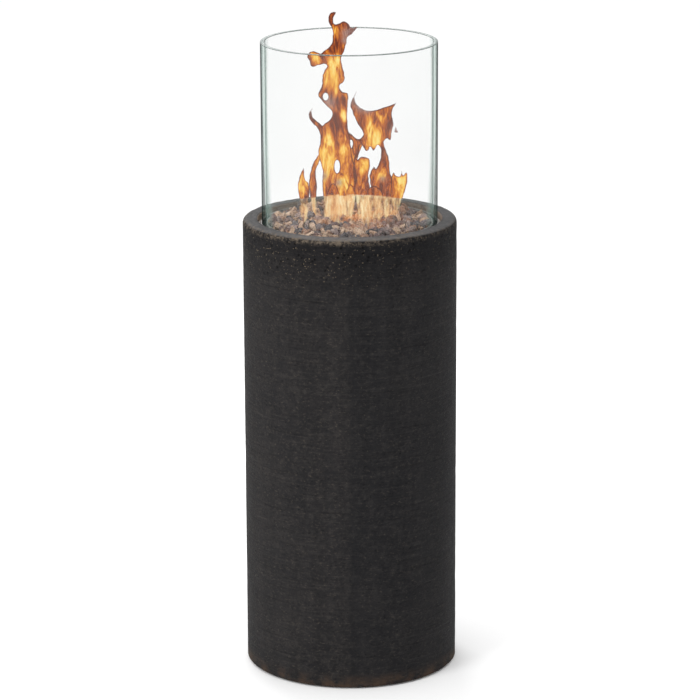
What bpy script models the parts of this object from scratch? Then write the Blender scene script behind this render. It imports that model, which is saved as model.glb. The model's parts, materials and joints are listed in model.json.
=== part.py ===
"""A gas fire column for outdoors: a cast concrete column with a burner tray in its top, a glass wind guard round
the flames, and a bay for a gas cylinder behind a door at the back.

Metres, +Z up, origin on the floor under the column's centre. The back, with the door and the controls, faces +Y.
"""

import math

import bmesh
import bpy
from mathutils import Euler, Matrix, Vector, noise

# ---- sizes that can be set by themselves -------------------------------------------------------------------

# Column
COLUMN_DIAMETER = 0.400
COLUMN_HEIGHT = 0.862  # floor to the top of the rim
WALL = 0.020
RIM_WIDTH = 0.028
RIM_DEPTH = 0.020  # rim's top down to the ledge that carries the burner tray
RIM_OUTER_ROUND = 0.009
RIM_INNER_ROUND = 0.003
LEDGE_WIDTH = 0.020
LEDGE_THICKNESS = 0.020
LIP_WIDTH = 0.050  # flange at the column's foot, inwards from the outside
LIP_HEIGHT = 0.024
FOOT_EDGE_CHAMFER = 0.002

# Feet and floor plate
FLOOR_GAP = 0.003  # the rubber feet hold the concrete this far off the floor
FOOT_RADIUS = 0.015
FOOT_POCKET_DEPTH = 0.006
FOOT_STEM_RADIUS = 0.004
FOOT_STEM_LENGTH = 0.012
FEET = 4
FLOOR_PLATE_THICKNESS = 0.002
FLOOR_PLATE_PLAY = 0.004  # round the plate's edge
FLOOR_VENT_RADIUS = 0.012
FLOOR_VENTS = 6
FLOOR_VENTS_FROM = math.radians(5)
FLOOR_DRAIN_RADIUS = 0.040
FLOOR_SCREW_RADIUS = 0.0020
FLOOR_SCREW_LENGTH = 0.014
FLOOR_SCREWS = 3

# Ring that holds the gas cylinder's foot, and its clamp screw
TANK_FOOT_RADIUS = 0.104
TANK_RING_WALL = 0.003
TANK_RING_HEIGHT = 0.026
CLAMP_TRAVEL = 0.006
CLAMP_SCREW_RADIUS = 0.004
CLAMP_PAD_RADIUS = 0.008
CLAMP_PAD_THICKNESS = 0.004
CLAMP_BOSS_DEPTH = 0.020
CLAMP_BOSS_HALF_WIDTH = 0.011
CLAMP_GRIP_CLEAR = 0.002  # grip over the floor when it stands upright
CLAMP_GRIP_THICKNESS = 0.005
CLAMP_GRIP_DEPTH = 0.012

# Door at the back
DOOR_SIDE_WALL = 0.017  # from the column's inside face to the opening's straight side
DOOR_SILL = 0.060
DOOR_HEAD_WALL = 0.022  # concrete between the opening and the pad behind the controls
FRAME_SHEET = 0.002
DOOR_SHEET = 0.0015
DOOR_DEPTH = 0.014
DOOR_PLAY = 0.002
DOOR_SLOT_LENGTH = 0.090
DOOR_SLOT_HEIGHT = 0.006
DOOR_SLOT_PITCH = 0.016
DOOR_SLOTS = 4  # in each of two groups
DOOR_SLOT_FROM_END = 0.045
DOOR_KNOB_RADIUS = 0.013
DOOR_KNOB_LENGTH = 0.022
DOOR_KNOB_FROM_EDGE = 0.035
HINGE_HEIGHT = 0.050
HINGE_LEAF = 0.022
HINGE_SHEET = 0.0015
HINGE_KNUCKLE_RADIUS = 0.0035
HINGE_PIN_RADIUS = 0.0018
HINGE_FROM_END = 0.070
CATCH_HALF_HEIGHT = 0.018
CATCH_WIDTH = 0.012
CATCH_DEPTH = 0.010
STRIKE_LEG = 0.013

# Burner tray, burner and mixer
TRAY_SHEET = 0.0015
TRAY_DEPTH = 0.072
TRAY_PLAY = 0.004  # bowl inside the ledge
TRAY_LIP_HEIGHT = 0.006
TRAY_EDGE_PLAY = 0.002  # flange inside the rim
TRAY_DRAIN_RADIUS = 0.003
TRAY_DRAINS = 6
TRAY_DRAINS_FROM = math.radians(12)
RING_RADIUS = 0.080
RING_TUBE_RADIUS = 0.008
RING_TUBE_WALL = 0.0015
RING_ABOVE_TRAY = 0.006
RING_PORTS = 16
RING_PORT_RADIUS = 0.0014
ARM_RADIUS = 0.0065
ARM_ANGLE = math.radians(20)
STEM_RADIUS = 0.010
STEM_BELOW_TRAY = 0.030
STEM_FLANGE_RADIUS = 0.016
STEM_FLANGE_THICKNESS = 0.004
LOCK_NUT_FLATS = 0.028
LOCK_NUT_HEIGHT = 0.010
MIXER_LENGTH = 0.062
MIXER_WALL = 0.003
MIXER_THROAT_RADIUS = 0.0065
MIXER_CHAMBER_RADIUS = 0.0125
AIR_HOLE_RADIUS = 0.004
INJECTOR_TIP_RADIUS = 0.005
INJECTOR_BODY_RADIUS = 0.009
INJECTOR_TAIL_RADIUS = 0.006
INJECTOR_ORIFICE_RADIUS = 0.0009

# Flame probes
BRACKET_HALF_WIDTH = 0.020
BRACKET_SHEET = 0.0015
BRACKET_HEIGHT = 0.018
BRACKET_SHELF = 0.014
BRACKET_Y = 0.045
PROBE_SPREAD = 0.010
THERMOCOUPLE_RADIUS = 0.0025
INSULATOR_RADIUS = 0.004
ELECTRODE_RADIUS = 0.0012
LEAD_RADIUS = 0.0015
PROBE_HOLE_RADIUS = 0.005

# Heat shield
SHIELD_SHEET = 0.001
SHIELD_PLAY = 0.005
SHIELD_BELOW_PAD = 0.012
SHIELD_HOSE_HOLE = 0.018
STANDOFFS = 3
STANDOFF_CIRCLE = 0.120
STANDOFFS_FROM = math.radians(34)
STANDOFF_RADIUS = 0.005
STUD_RADIUS = 0.0025
STUD_LENGTH = 0.008

# Controls
PANEL_WIDTH = 0.150
PANEL_HEIGHT = 0.084
PANEL_SHEET = 0.002
PANEL_BELOW_TOP = 0.192  # panel's middle under the rim's top
KNOB_UNDER_OUTLINE = 0.001  # the knob's pointer behind the column's furthest point
PANEL_SEAT = 0.013  # width of concrete that the panel's edge rests on
PAD_DEPTH = 0.022  # concrete behind the panel's seat
PAD_MARGIN = 0.014
PANEL_SCREW_RADIUS = 0.0018
PANEL_SCREW_LENGTH = 0.014
PANEL_SCREW_INSET = 0.007
KNOB_X = -0.032
KNOB_RADIUS = 0.017
KNOB_LENGTH = 0.022
KNOB_POINTER = 0.0012  # how far it stands up from the knob's face
KNOB_TRAVEL = 0.004
BEZEL_WIDTH = 0.004
BEZEL_THICKNESS = 0.002
VALVE_STEM_RADIUS = 0.003
VALVE_STEM_LENGTH = 0.046
VALVE_WIDTH = 0.036
VALVE_HEIGHT = 0.034
VALVE_DEPTH = 0.034
VALVE_BOSS_RADIUS = 0.013
VALVE_BOSS_LENGTH = 0.012
PLUNGER_RADIUS = 0.0041
PLUNGER_LENGTH = 0.008
OUTLET_RADIUS = 0.007
OUTLET_LENGTH = 0.010
INLET_RADIUS = 0.008
INLET_FROM_BACK = 0.011  # inlet's axis to the end of the valve body
INLET_LENGTH = 0.010
INLET_HEX_FLATS = 0.018
INLET_HEX_LENGTH = 0.010
INLET_FLARE_LENGTH = 0.013
TUBE_RADIUS = 0.004
TUBE_NUT_FLATS = 0.014
TUBE_NUT_LENGTH = 0.012
PROBE_PORT_RADIUS = 0.004
PROBE_PORT_LENGTH = 0.006
IGNITER_X = 0.036
IGNITER_RADIUS = 0.010
IGNITER_WALL = 0.003
IGNITER_LENGTH = 0.056
IGNITER_FLANGE_RADIUS = 0.013
IGNITER_FLANGE_THICKNESS = 0.002
IGNITER_NUT_FLATS = 0.026
IGNITER_NUT_LENGTH = 0.008
BUTTON_RADIUS = 0.011
BUTTON_LENGTH = 0.005
BUTTON_TRAVEL = 0.003
BATTERY_RADIUS = 0.00525
BATTERY_LENGTH = 0.0445

# Rocks and glass
ROCKS_BELOW_RIM = 0.010
ROCKS_OVER_FLANGE = 0.003  # how far the rocks lie out over the tray's flange
ROCKS_UNEVEN = 0.004
BURNER_SPACE_HEIGHT = 0.040
BURNER_SPACE_MARGIN = 0.006
GLASS_GAP = 0.008  # rim to glass
GLASS_WALL = 0.008
GLASS_ABOVE_RIM = 0.331
GLASS_EDGE_CHAMFER = 0.001
GASKET_WALL = 0.002
GASKET_HEIGHT = 0.009

# Fits
GAP = 0.0003  # between faces that touch
SLIDE_PLAY = 0.0004  # radial, round a piece that slides or turns
CUT_PAST = 0.010  # how far a cutter runs past what it cuts
SEGMENTS = 48  # round the column, the same for all that is concentric with it
SMALL_SEGMENTS = 16
SMOOTH_BELOW = math.radians(35)

# ---- places worked out from them ---------------------------------------------------------------------------

OUTER = COLUMN_DIAMETER / 2
INNER = OUTER - WALL
RIM_INNER = OUTER - RIM_WIDTH
LEDGE_INNER = RIM_INNER - LEDGE_WIDTH
LEDGE_Z = COLUMN_HEIGHT - RIM_DEPTH
LIP_TOP = FLOOR_GAP + LIP_HEIGHT
LIP_INNER = OUTER - LIP_WIDTH
LIP_MIDDLE = (OUTER + LIP_INNER) / 2

FLOOR_PLATE_Z = LIP_TOP + GAP
FLOOR_TOP = FLOOR_PLATE_Z + FLOOR_PLATE_THICKNESS

PANEL_Z = COLUMN_HEIGHT - PANEL_BELOW_TOP
KNOB_BACK_Y = OUTER - KNOB_UNDER_OUTLINE - KNOB_POINTER - KNOB_LENGTH
PANEL_FACE_Y = KNOB_BACK_Y - KNOB_TRAVEL - GAP
PANEL_BACK_Y = PANEL_FACE_Y - PANEL_SHEET
PANEL_SEAT_Y = PANEL_BACK_Y - GAP
PAD_Y = PANEL_SEAT_Y - PAD_DEPTH
PAD_LOW = PANEL_Z - PANEL_HEIGHT / 2 - PAD_MARGIN
PAD_HIGH = PANEL_Z + PANEL_HEIGHT / 2 + PAD_MARGIN

OPENING_HALF = INNER - DOOR_SIDE_WALL
DOOR_HEAD = PAD_LOW - DOOR_HEAD_WALL
DOOR_MIDDLE_Z = (DOOR_SILL + DOOR_HEAD) / 2
FRAME_INNER_HALF = OPENING_HALF - GAP - FRAME_SHEET
DOOR_HALF = FRAME_INNER_HALF - DOOR_PLAY
DOOR_LOW = DOOR_SILL + GAP + FRAME_SHEET + DOOR_PLAY
DOOR_HIGH = DOOR_HEAD - GAP - FRAME_SHEET - DOOR_PLAY

TRAY_FLANGE_Z = LEDGE_Z + GAP
TRAY_TOP = TRAY_FLANGE_Z + TRAY_SHEET
TRAY_OUTER = RIM_INNER - TRAY_EDGE_PLAY
BOWL_OUTER = LEDGE_INNER - TRAY_PLAY
BOWL_INNER = BOWL_OUTER - TRAY_SHEET
TRAY_FLOOR = TRAY_TOP - TRAY_DEPTH
TRAY_UNDERSIDE = TRAY_FLOOR - TRAY_SHEET
RING_Z = TRAY_FLOOR + RING_ABOVE_TRAY + RING_TUBE_RADIUS
STEM_BOTTOM = TRAY_UNDERSIDE - STEM_BELOW_TRAY
MIXER_TOP = STEM_BOTTOM + 0.012
MIXER_BOTTOM = MIXER_TOP - MIXER_LENGTH
INJECTOR_SEAT = MIXER_BOTTOM - GAP
INJECTOR_BOTTOM = INJECTOR_SEAT - 0.026

SHIELD_Z = PAD_LOW - SHIELD_BELOW_PAD
VALVE_FACE_Y = PANEL_BACK_Y - GAP
VALVE_BODY_HIGH_Y = VALVE_FACE_Y - VALVE_BOSS_LENGTH
VALVE_BODY_LOW_Y = VALVE_BODY_HIGH_Y - VALVE_DEPTH
INLET_Y = VALVE_BODY_LOW_Y + INLET_FROM_BACK

GLASS_OUTER = RIM_INNER - GLASS_GAP
GLASS_INNER = GLASS_OUTER - GLASS_WALL
GASKET_BOTTOM = TRAY_TOP + GAP
GLASS_BOTTOM = GASKET_BOTTOM + GASKET_WALL + GAP
GLASS_TOP = COLUMN_HEIGHT + GLASS_ABOVE_RIM


# ---- tools -------------------------------------------------------------------------------------------------


def clear_scene():
    for obj in list(bpy.data.objects):
        bpy.data.objects.remove(obj)


def make_finish(name, colour, roughness, metallic=0.0, alpha=1.0):
    """A plain Principled material."""
    material = bpy.data.materials.new(name)
    material.use_nodes = True
    shader = material.node_tree.nodes["Principled BSDF"]
    shader.inputs["Base Color"].default_value = (*colour, 1.0)
    shader.inputs["Roughness"].default_value = roughness
    shader.inputs["Metallic"].default_value = metallic
    shader.inputs["Alpha"].default_value = alpha
    return material


def make_finishes():
    return {
        "concrete": make_finish("concrete", (0.028, 0.026, 0.025), 0.8),
        "stainless": make_finish("stainless", (0.55, 0.55, 0.54), 0.35, 1.0),
        "painted_steel": make_finish("painted_steel", (0.024, 0.022, 0.021), 0.55, 0.2),
        "zinc": make_finish("zinc", (0.62, 0.62, 0.60), 0.4, 1.0),
        "brass": make_finish("brass", (0.72, 0.52, 0.24), 0.3, 1.0),
        "copper": make_finish("copper", (0.70, 0.35, 0.20), 0.35, 1.0),
        "aluminium": make_finish("aluminium", (0.75, 0.75, 0.76), 0.35, 1.0),
        "black_plastic": make_finish("black_plastic", (0.02, 0.02, 0.02), 0.4),
        "ceramic": make_finish("ceramic", (0.85, 0.83, 0.78), 0.3),
        "rubber": make_finish("rubber", (0.02, 0.02, 0.02), 0.85),
        "lava": make_finish("lava", (0.16, 0.12, 0.10), 0.95),
        "glass": make_finish("glass", (0.86, 0.94, 0.92), 0.02, alpha=0.3),
    }


def make_object(name, bm, finish, turn=None, at=(0, 0, 0)):
    """An object from a bmesh, with its faces pointing out, turned and placed, and shaded smooth where it is round."""
    bmesh.ops.recalc_face_normals(bm, faces=bm.faces)
    mesh = bpy.data.meshes.new(name)
    bm.to_mesh(mesh)
    bm.free()
    if finish:
        mesh.materials.append(FINISHES[finish])
    mesh.shade_smooth()
    mesh.set_sharp_from_angle(angle=SMOOTH_BELOW)
    obj = bpy.data.objects.new(name, mesh)
    obj.location = at
    obj.rotation_euler = turn or (0, 0, 0)
    bpy.context.scene.collection.objects.link(obj)
    return obj


def boolean(target, tool, operation):
    """Adds a Boolean to target. The tool is a helper, left out of the model."""
    tool.hide_render = True
    tool.display_type = "WIRE"
    modifier = target.modifiers.new(tool.name, "BOOLEAN")
    modifier.operation = operation
    modifier.object = tool
    modifier.solver = "EXACT"
    return target


def cut(target, tool):
    return boolean(target, tool, "DIFFERENCE")


def join(target, tool):
    return boolean(target, tool, "UNION")


def keep_inside(target, tool):
    return boolean(target, tool, "INTERSECT")


def turned(name, profile, finish, segments=SEGMENTS, turn=None, at=(0, 0, 0)):
    """A closed (radius, height) outline spun round its Z axis."""
    bm = bmesh.new()
    points = [bm.verts.new((radius, 0, height)) for radius, height in profile]
    edges = [
        bm.edges.new((a, b))
        for a, b in zip(points, points[1:] + points[:1])
        if a.co.x > 0 or b.co.x > 0
    ]
    bmesh.ops.spin(
        bm,
        geom=points + edges,
        axis=(0, 0, 1),
        cent=(0, 0, 0),
        angle=2 * math.pi,
        steps=segments,
    )
    bmesh.ops.remove_doubles(bm, verts=bm.verts, dist=1e-6)
    return make_object(name, bm, finish, turn, at)


def add_block(bm, low, high):
    middle = (Vector(low) + Vector(high)) / 2
    size = Vector(high) - Vector(low)
    matrix = Matrix.Translation(middle) @ Matrix.Diagonal((*size, 1))
    bmesh.ops.create_cube(bm, size=1, matrix=matrix)


def add_rod(bm, start, end, radius, sides=SMALL_SEGMENTS):
    along = Vector(end) - Vector(start)
    matrix = Matrix.Translation((Vector(start) + Vector(end)) / 2)
    matrix @= along.to_track_quat("Z", "Y").to_matrix().to_4x4()
    bmesh.ops.create_cone(
        bm,
        cap_ends=True,
        segments=sides,
        radius1=radius,
        radius2=radius,
        depth=along.length,
        matrix=matrix,
    )


def blocks(name, corners, finish=None, turn=None, at=(0, 0, 0)):
    """Boxes between pairs of corners, in one object."""
    bm = bmesh.new()
    for low, high in corners:
        add_block(bm, low, high)
    return make_object(name, bm, finish, turn, at)


def rods(name, ends, radius, finish=None, sides=SMALL_SEGMENTS):
    """Cylinders between pairs of points, in one object."""
    bm = bmesh.new()
    for start, end in ends:
        add_rod(bm, start, end, radius, sides)
    return make_object(name, bm, finish)


def prism(name, outline, low, high, finish=None, along="Z"):
    """An outline pushed straight from low to high: (x, y) outlines along Z, (y, z) outlines along X."""
    bm = bmesh.new()
    if along == "Z":
        places = [(a, b, low) for a, b in outline]
        push = (0, 0, high - low)
    else:
        places = [(low, a, b) for a, b in outline]
        push = (high - low, 0, 0)
    face = bm.faces.new([bm.verts.new(place) for place in places])
    grown = bmesh.ops.extrude_face_region(bm, geom=[face])
    moved = [item for item in grown["geom"] if isinstance(item, bmesh.types.BMVert)]
    bmesh.ops.translate(bm, verts=moved, vec=push)
    return make_object(name, bm, finish)


def nut(name, flats, length, bore, finish, turn=None, at=(0, 0, 0)):
    """A hexagon with a round bore, from z 0 up to length."""
    corner = flats / 2 / math.cos(math.pi / 6)
    profile = [(bore, 0), (corner, 0), (corner, length), (bore, length)]
    obj = turned(name, profile, finish, 12, turn, at)
    for vertex in obj.data.vertices:
        angle = math.atan2(vertex.co.y, vertex.co.x)
        on_flat = abs(math.cos(3 * angle)) < 0.5
        if math.hypot(vertex.co.x, vertex.co.y) > (bore + corner) / 2 and on_flat:
            vertex.co.x *= math.cos(math.pi / 6)
            vertex.co.y *= math.cos(math.pi / 6)
    return obj


def around(count, radius, first=0.0):
    """Points evenly round a circle."""
    for i in range(count):
        angle = first + 2 * math.pi * i / count
        yield radius * math.cos(angle), radius * math.sin(angle)


def arc(centre_x, centre_y, radius, start, end, steps):
    """Points along an arc, angles in degrees."""
    for i in range(steps + 1):
        angle = math.radians(start + (end - start) * i / steps)
        yield centre_x + radius * math.cos(angle), centre_y + radius * math.sin(angle)


def pipe(name, start, start_way, end, end_way, straight, reach, radius, finish):
    """A tube that leaves start along start_way, and reaches end going along end_way, straight at both ends."""
    start, end = Vector(start), Vector(end)
    bend_start = start + Vector(start_way) * straight
    bend_end = end - Vector(end_way) * straight
    handle_a = bend_start + Vector(start_way) * reach
    handle_b = bend_end - Vector(end_way) * reach
    steps = 14
    points = [start]
    for i in range(steps + 1):
        t = i / steps
        points.append(
            bend_start * (1 - t) ** 3
            + handle_a * 3 * t * (1 - t) ** 2
            + handle_b * 3 * t**2 * (1 - t)
            + bend_end * t**3
        )
    points.append(end)
    curve = bpy.data.curves.new(name, "CURVE")
    curve.dimensions = "3D"
    curve.bevel_depth = radius
    curve.bevel_resolution = 2
    curve.use_fill_caps = True
    spline = curve.splines.new("POLY")
    spline.points.add(len(points) - 1)
    for point, place in zip(spline.points, points):
        point.co = (*place, 1)
    curve.materials.append(FINISHES[finish])
    obj = bpy.data.objects.new(name, curve)
    bpy.context.scene.collection.objects.link(obj)
    return obj


def joint_axis(name, place, *pieces):
    """An empty on a joint's axis, with the pieces that move with it as its children."""
    empty = bpy.data.objects.new(name, None)
    empty.location = place
    bpy.context.scene.collection.objects.link(empty)
    for piece in pieces:
        piece.parent = empty
        piece.matrix_parent_inverse = Matrix.Translation(-Vector(place))
    return empty


FACING_BACK = (-math.pi / 2, 0, 0)  # turns a piece's own +Z to the column's +Y


# ---- column ------------------------------------------------------------------------------------------------


def shell_profile():
    foot = FLOOR_GAP
    haunch_z = LEDGE_Z - LEDGE_THICKNESS
    round_centre = (OUTER - RIM_OUTER_ROUND, COLUMN_HEIGHT - RIM_OUTER_ROUND)
    return [
        (LIP_INNER, foot),
        (OUTER - FOOT_EDGE_CHAMFER, foot),
        (OUTER, foot + FOOT_EDGE_CHAMFER),
        *arc(*round_centre, RIM_OUTER_ROUND, 0, 90, 4),
        *arc(RIM_INNER + RIM_INNER_ROUND, COLUMN_HEIGHT - RIM_INNER_ROUND, RIM_INNER_ROUND, 90, 180, 1),
        (RIM_INNER, LEDGE_Z),
        (LEDGE_INNER, LEDGE_Z),
        (LEDGE_INNER, haunch_z),
        (INNER, haunch_z - (INNER - LEDGE_INNER)),
        (INNER, LIP_TOP),
        (LIP_INNER, LIP_TOP),
    ]


def control_pad():
    """Concrete that thickens the wall behind the control panel, to a flat inside face."""
    middle_of_wall = OUTER - WALL / 2
    half_angle = math.degrees(math.acos(PAD_Y / middle_of_wall))
    outline = list(arc(0, 0, middle_of_wall, 90 - half_angle, 90 + half_angle, 12))
    return prism("pad_to_join", outline, PAD_LOW, PAD_HIGH)


def panel_screw_places():
    x = PANEL_WIDTH / 2 - PANEL_SCREW_INSET
    return [(-x, PANEL_Z), (x, PANEL_Z)]


def foot_places():
    return list(around(FEET, LIP_MIDDLE, math.pi / 4))


def floor_screw_places():
    return list(around(FLOOR_SCREWS, (LIP_INNER + INNER) / 2, math.pi / 2))


def make_column():
    shell = turned("column_shell", shell_profile(), "concrete")
    join(shell, control_pad())

    half_panel = PANEL_WIDTH / 2 + GAP
    half_tall = PANEL_HEIGHT / 2 + GAP
    pocket = ((-half_panel, PANEL_SEAT_Y, PANEL_Z - half_tall), (half_panel, OUTER + CUT_PAST, PANEL_Z + half_tall))
    cut(shell, blocks("panel_pocket_cut", [pocket]))
    half_window = PANEL_WIDTH / 2 - PANEL_SEAT
    half_window_tall = PANEL_HEIGHT / 2 - PANEL_SEAT
    window = (
        (-half_window, PAD_Y - CUT_PAST, PANEL_Z - half_window_tall),
        (half_window, OUTER + CUT_PAST, PANEL_Z + half_window_tall),
    )
    cut(shell, blocks("panel_window_cut", [window]))
    opening = ((-OPENING_HALF, 0, DOOR_SILL), (OPENING_HALF, OUTER + CUT_PAST, DOOR_HEAD))
    cut(shell, blocks("door_opening_cut", [opening]))

    pockets = [((x, y, -CUT_PAST), (x, y, FLOOR_GAP + FOOT_POCKET_DEPTH)) for x, y in foot_places()]
    cut(shell, rods("foot_pocket_cut", pockets, FOOT_RADIUS + SLIDE_PLAY))
    stem_top = FLOOR_GAP + FOOT_POCKET_DEPTH + FOOT_STEM_LENGTH
    stem_holes = [((x, y, 0), (x, y, stem_top)) for x, y in foot_places()]
    cut(shell, rods("foot_stem_cut", stem_holes, FOOT_STEM_RADIUS + SLIDE_PLAY, sides=8))
    floor_holes = [
        ((x, y, LIP_TOP - FLOOR_SCREW_LENGTH), (x, y, LIP_TOP + FOOT_EDGE_CHAMFER)) for x, y in floor_screw_places()
    ]
    cut(shell, rods("floor_screw_cut", floor_holes, FLOOR_SCREW_RADIUS + SLIDE_PLAY, sides=8))
    panel_holes = [
        ((x, PANEL_SEAT_Y - PANEL_SCREW_LENGTH, z), (x, OUTER + CUT_PAST, z)) for x, z in panel_screw_places()
    ]
    cut(shell, rods("panel_screw_cut", panel_holes, PANEL_SCREW_RADIUS + SLIDE_PLAY, sides=8))


def make_feet():
    top = FLOOR_GAP + FOOT_POCKET_DEPTH - GAP
    stem_top = top + FOOT_STEM_LENGTH - GAP
    profile = [
        (0, 0),
        (FOOT_RADIUS - 0.001, 0),
        (FOOT_RADIUS, 0.001),
        (FOOT_RADIUS, top),
        (FOOT_STEM_RADIUS, top),
        (FOOT_STEM_RADIUS, stem_top),
        (0, stem_top),
    ]
    for i, (x, y) in enumerate(foot_places(), 1):
        turned(f"foot_{i}", profile, "rubber", SMALL_SEGMENTS, at=(x, y, 0))


def make_floor_plate():
    outside = INNER - FLOOR_PLATE_PLAY
    profile = [
        (FLOOR_DRAIN_RADIUS, FLOOR_PLATE_Z),
        (outside, FLOOR_PLATE_Z),
        (outside, FLOOR_TOP),
        (FLOOR_DRAIN_RADIUS, FLOOR_TOP),
    ]
    plate = turned("floor_plate", profile, "zinc")
    circle = (TANK_FOOT_RADIUS + TANK_RING_WALL + LIP_INNER) / 2
    below, above = FLOOR_PLATE_Z - CUT_PAST, FLOOR_TOP + CUT_PAST
    vents = [((x, y, below), (x, y, above)) for x, y in around(FLOOR_VENTS, circle, FLOOR_VENTS_FROM)]
    cut(plate, rods("floor_vent_cut", vents, FLOOR_VENT_RADIUS, sides=12))
    holes = [((x, y, below), (x, y, above)) for x, y in floor_screw_places()]
    cut(plate, rods("floor_plate_hole_cut", holes, FLOOR_SCREW_RADIUS + SLIDE_PLAY, sides=8))
    head = FLOOR_TOP + GAP
    tip = LIP_TOP - FLOOR_SCREW_LENGTH + GAP
    for i, (x, y) in enumerate(floor_screw_places(), 1):
        make_screw(f"floor_screw_{i}", FLOOR_SCREW_RADIUS, head - tip, "zinc", at=(x, y, head))


def make_screw(name, radius, length, finish, turn=None, at=(0, 0, 0)):
    """A pan-head screw with its head from z 0 up and its shank down. Its drive is left to the fine model."""
    head_radius, head_height = 2.1 * radius, 1.3 * radius
    profile = [
        (0, -length),
        (radius, -length),
        (radius, 0),
        (head_radius, 0),
        (head_radius, head_height / 2),
        (head_radius * 0.6, head_height),
        (0, head_height),
    ]
    return turned(name, profile, finish, 8, turn, at)


# ---- gas cylinder's ring and clamp -------------------------------------------------------------------------


def make_tank_ring():
    inside = TANK_FOOT_RADIUS
    outside = inside + TANK_RING_WALL
    low = FLOOR_TOP + GAP
    high = low + TANK_RING_HEIGHT
    ring = turned("tank_ring", [(inside, low), (outside, low), (outside, high), (inside, high)], "zinc", 48)
    boss_low_y = inside + TANK_RING_WALL / 2
    boss_high_y = boss_low_y + CLAMP_BOSS_DEPTH
    middle_z = (low + high) / 2
    half_tall = TANK_RING_HEIGHT / 2 - 0.001
    boss = (
        (-CLAMP_BOSS_HALF_WIDTH, boss_low_y, middle_z - half_tall),
        (CLAMP_BOSS_HALF_WIDTH, boss_high_y, middle_z + half_tall),
    )
    join(ring, blocks("clamp_boss_to_join", [boss]))
    pad_back = inside + CLAMP_PAD_THICKNESS + 2 * GAP
    pocket = [((0, inside - CUT_PAST, middle_z), (0, pad_back + GAP, middle_z))]
    cut(ring, rods("clamp_pocket_cut", pocket, CLAMP_PAD_RADIUS + SLIDE_PLAY))
    thread = [((0, inside, middle_z), (0, boss_high_y + CUT_PAST, middle_z))]
    cut(ring, rods("clamp_thread_cut", thread, CLAMP_SCREW_RADIUS + SLIDE_PLAY, sides=12))

    pad = rods(
        "clamp_pad",
        [((0, inside + 2 * GAP, middle_z), (0, pad_back, middle_z))],
        CLAMP_PAD_RADIUS,
        "rubber",
    )
    screw_tip = pad_back + GAP
    grip_y = boss_high_y + CLAMP_TRAVEL + 0.003
    screw = rods(
        "clamp_screw",
        [((0, screw_tip, middle_z), (0, grip_y + CLAMP_GRIP_DEPTH / 2, middle_z))],
        CLAMP_SCREW_RADIUS,
        "zinc",
        sides=12,
    )
    grip_reach = middle_z - FLOOR_TOP - CLAMP_GRIP_CLEAR
    grip = (
        (-grip_reach, grip_y, middle_z - CLAMP_GRIP_THICKNESS / 2),
        (grip_reach, grip_y + CLAMP_GRIP_DEPTH, middle_z + CLAMP_GRIP_THICKNESS / 2),
    )
    join(screw, blocks("clamp_grip_to_join", [grip]))
    joint_axis("clamp_axis", (0, screw_tip, middle_z), pad, screw)


# ---- door --------------------------------------------------------------------------------------------------


def curved_slab(name, inside, outside, half_width, low, high, finish=None):
    """The back part of a ring, cut off at x = half_width on both sides."""
    slab = turned(name, [(inside, low), (outside, low), (outside, high), (inside, high)], finish)
    box = ((-half_width, 0, low - CUT_PAST), (half_width, outside + CUT_PAST, high + CUT_PAST))
    return keep_inside(slab, blocks(f"{name}_width", [box]))


def make_door_frame():
    low, high = DOOR_SILL + GAP, DOOR_HEAD - GAP
    frame = curved_slab("door_frame", INNER + 0.001, OUTER - 0.001, OPENING_HALF - GAP, low, high, "painted_steel")
    inside = (
        (-FRAME_INNER_HALF, -CUT_PAST, low + FRAME_SHEET),
        (FRAME_INNER_HALF, OUTER + CUT_PAST, high - FRAME_SHEET),
    )
    cut(frame, blocks("door_frame_inside_cut", [inside]))


def hinge_angle():
    """Degrees round the column, from +Y towards -X, of the line between door and frame."""
    x = (DOOR_HALF + FRAME_INNER_HALF) / 2
    return math.degrees(math.asin(x / OUTER)) + 0.1


def hinge_axis_radius():
    return OUTER + 2 * GAP + HINGE_SHEET / 2 + HINGE_KNUCKLE_RADIUS


def on_column(angle, radius):
    """The point at this angle from +Y towards -X."""
    return -radius * math.sin(math.radians(angle)), radius * math.cos(math.radians(angle))


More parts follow.
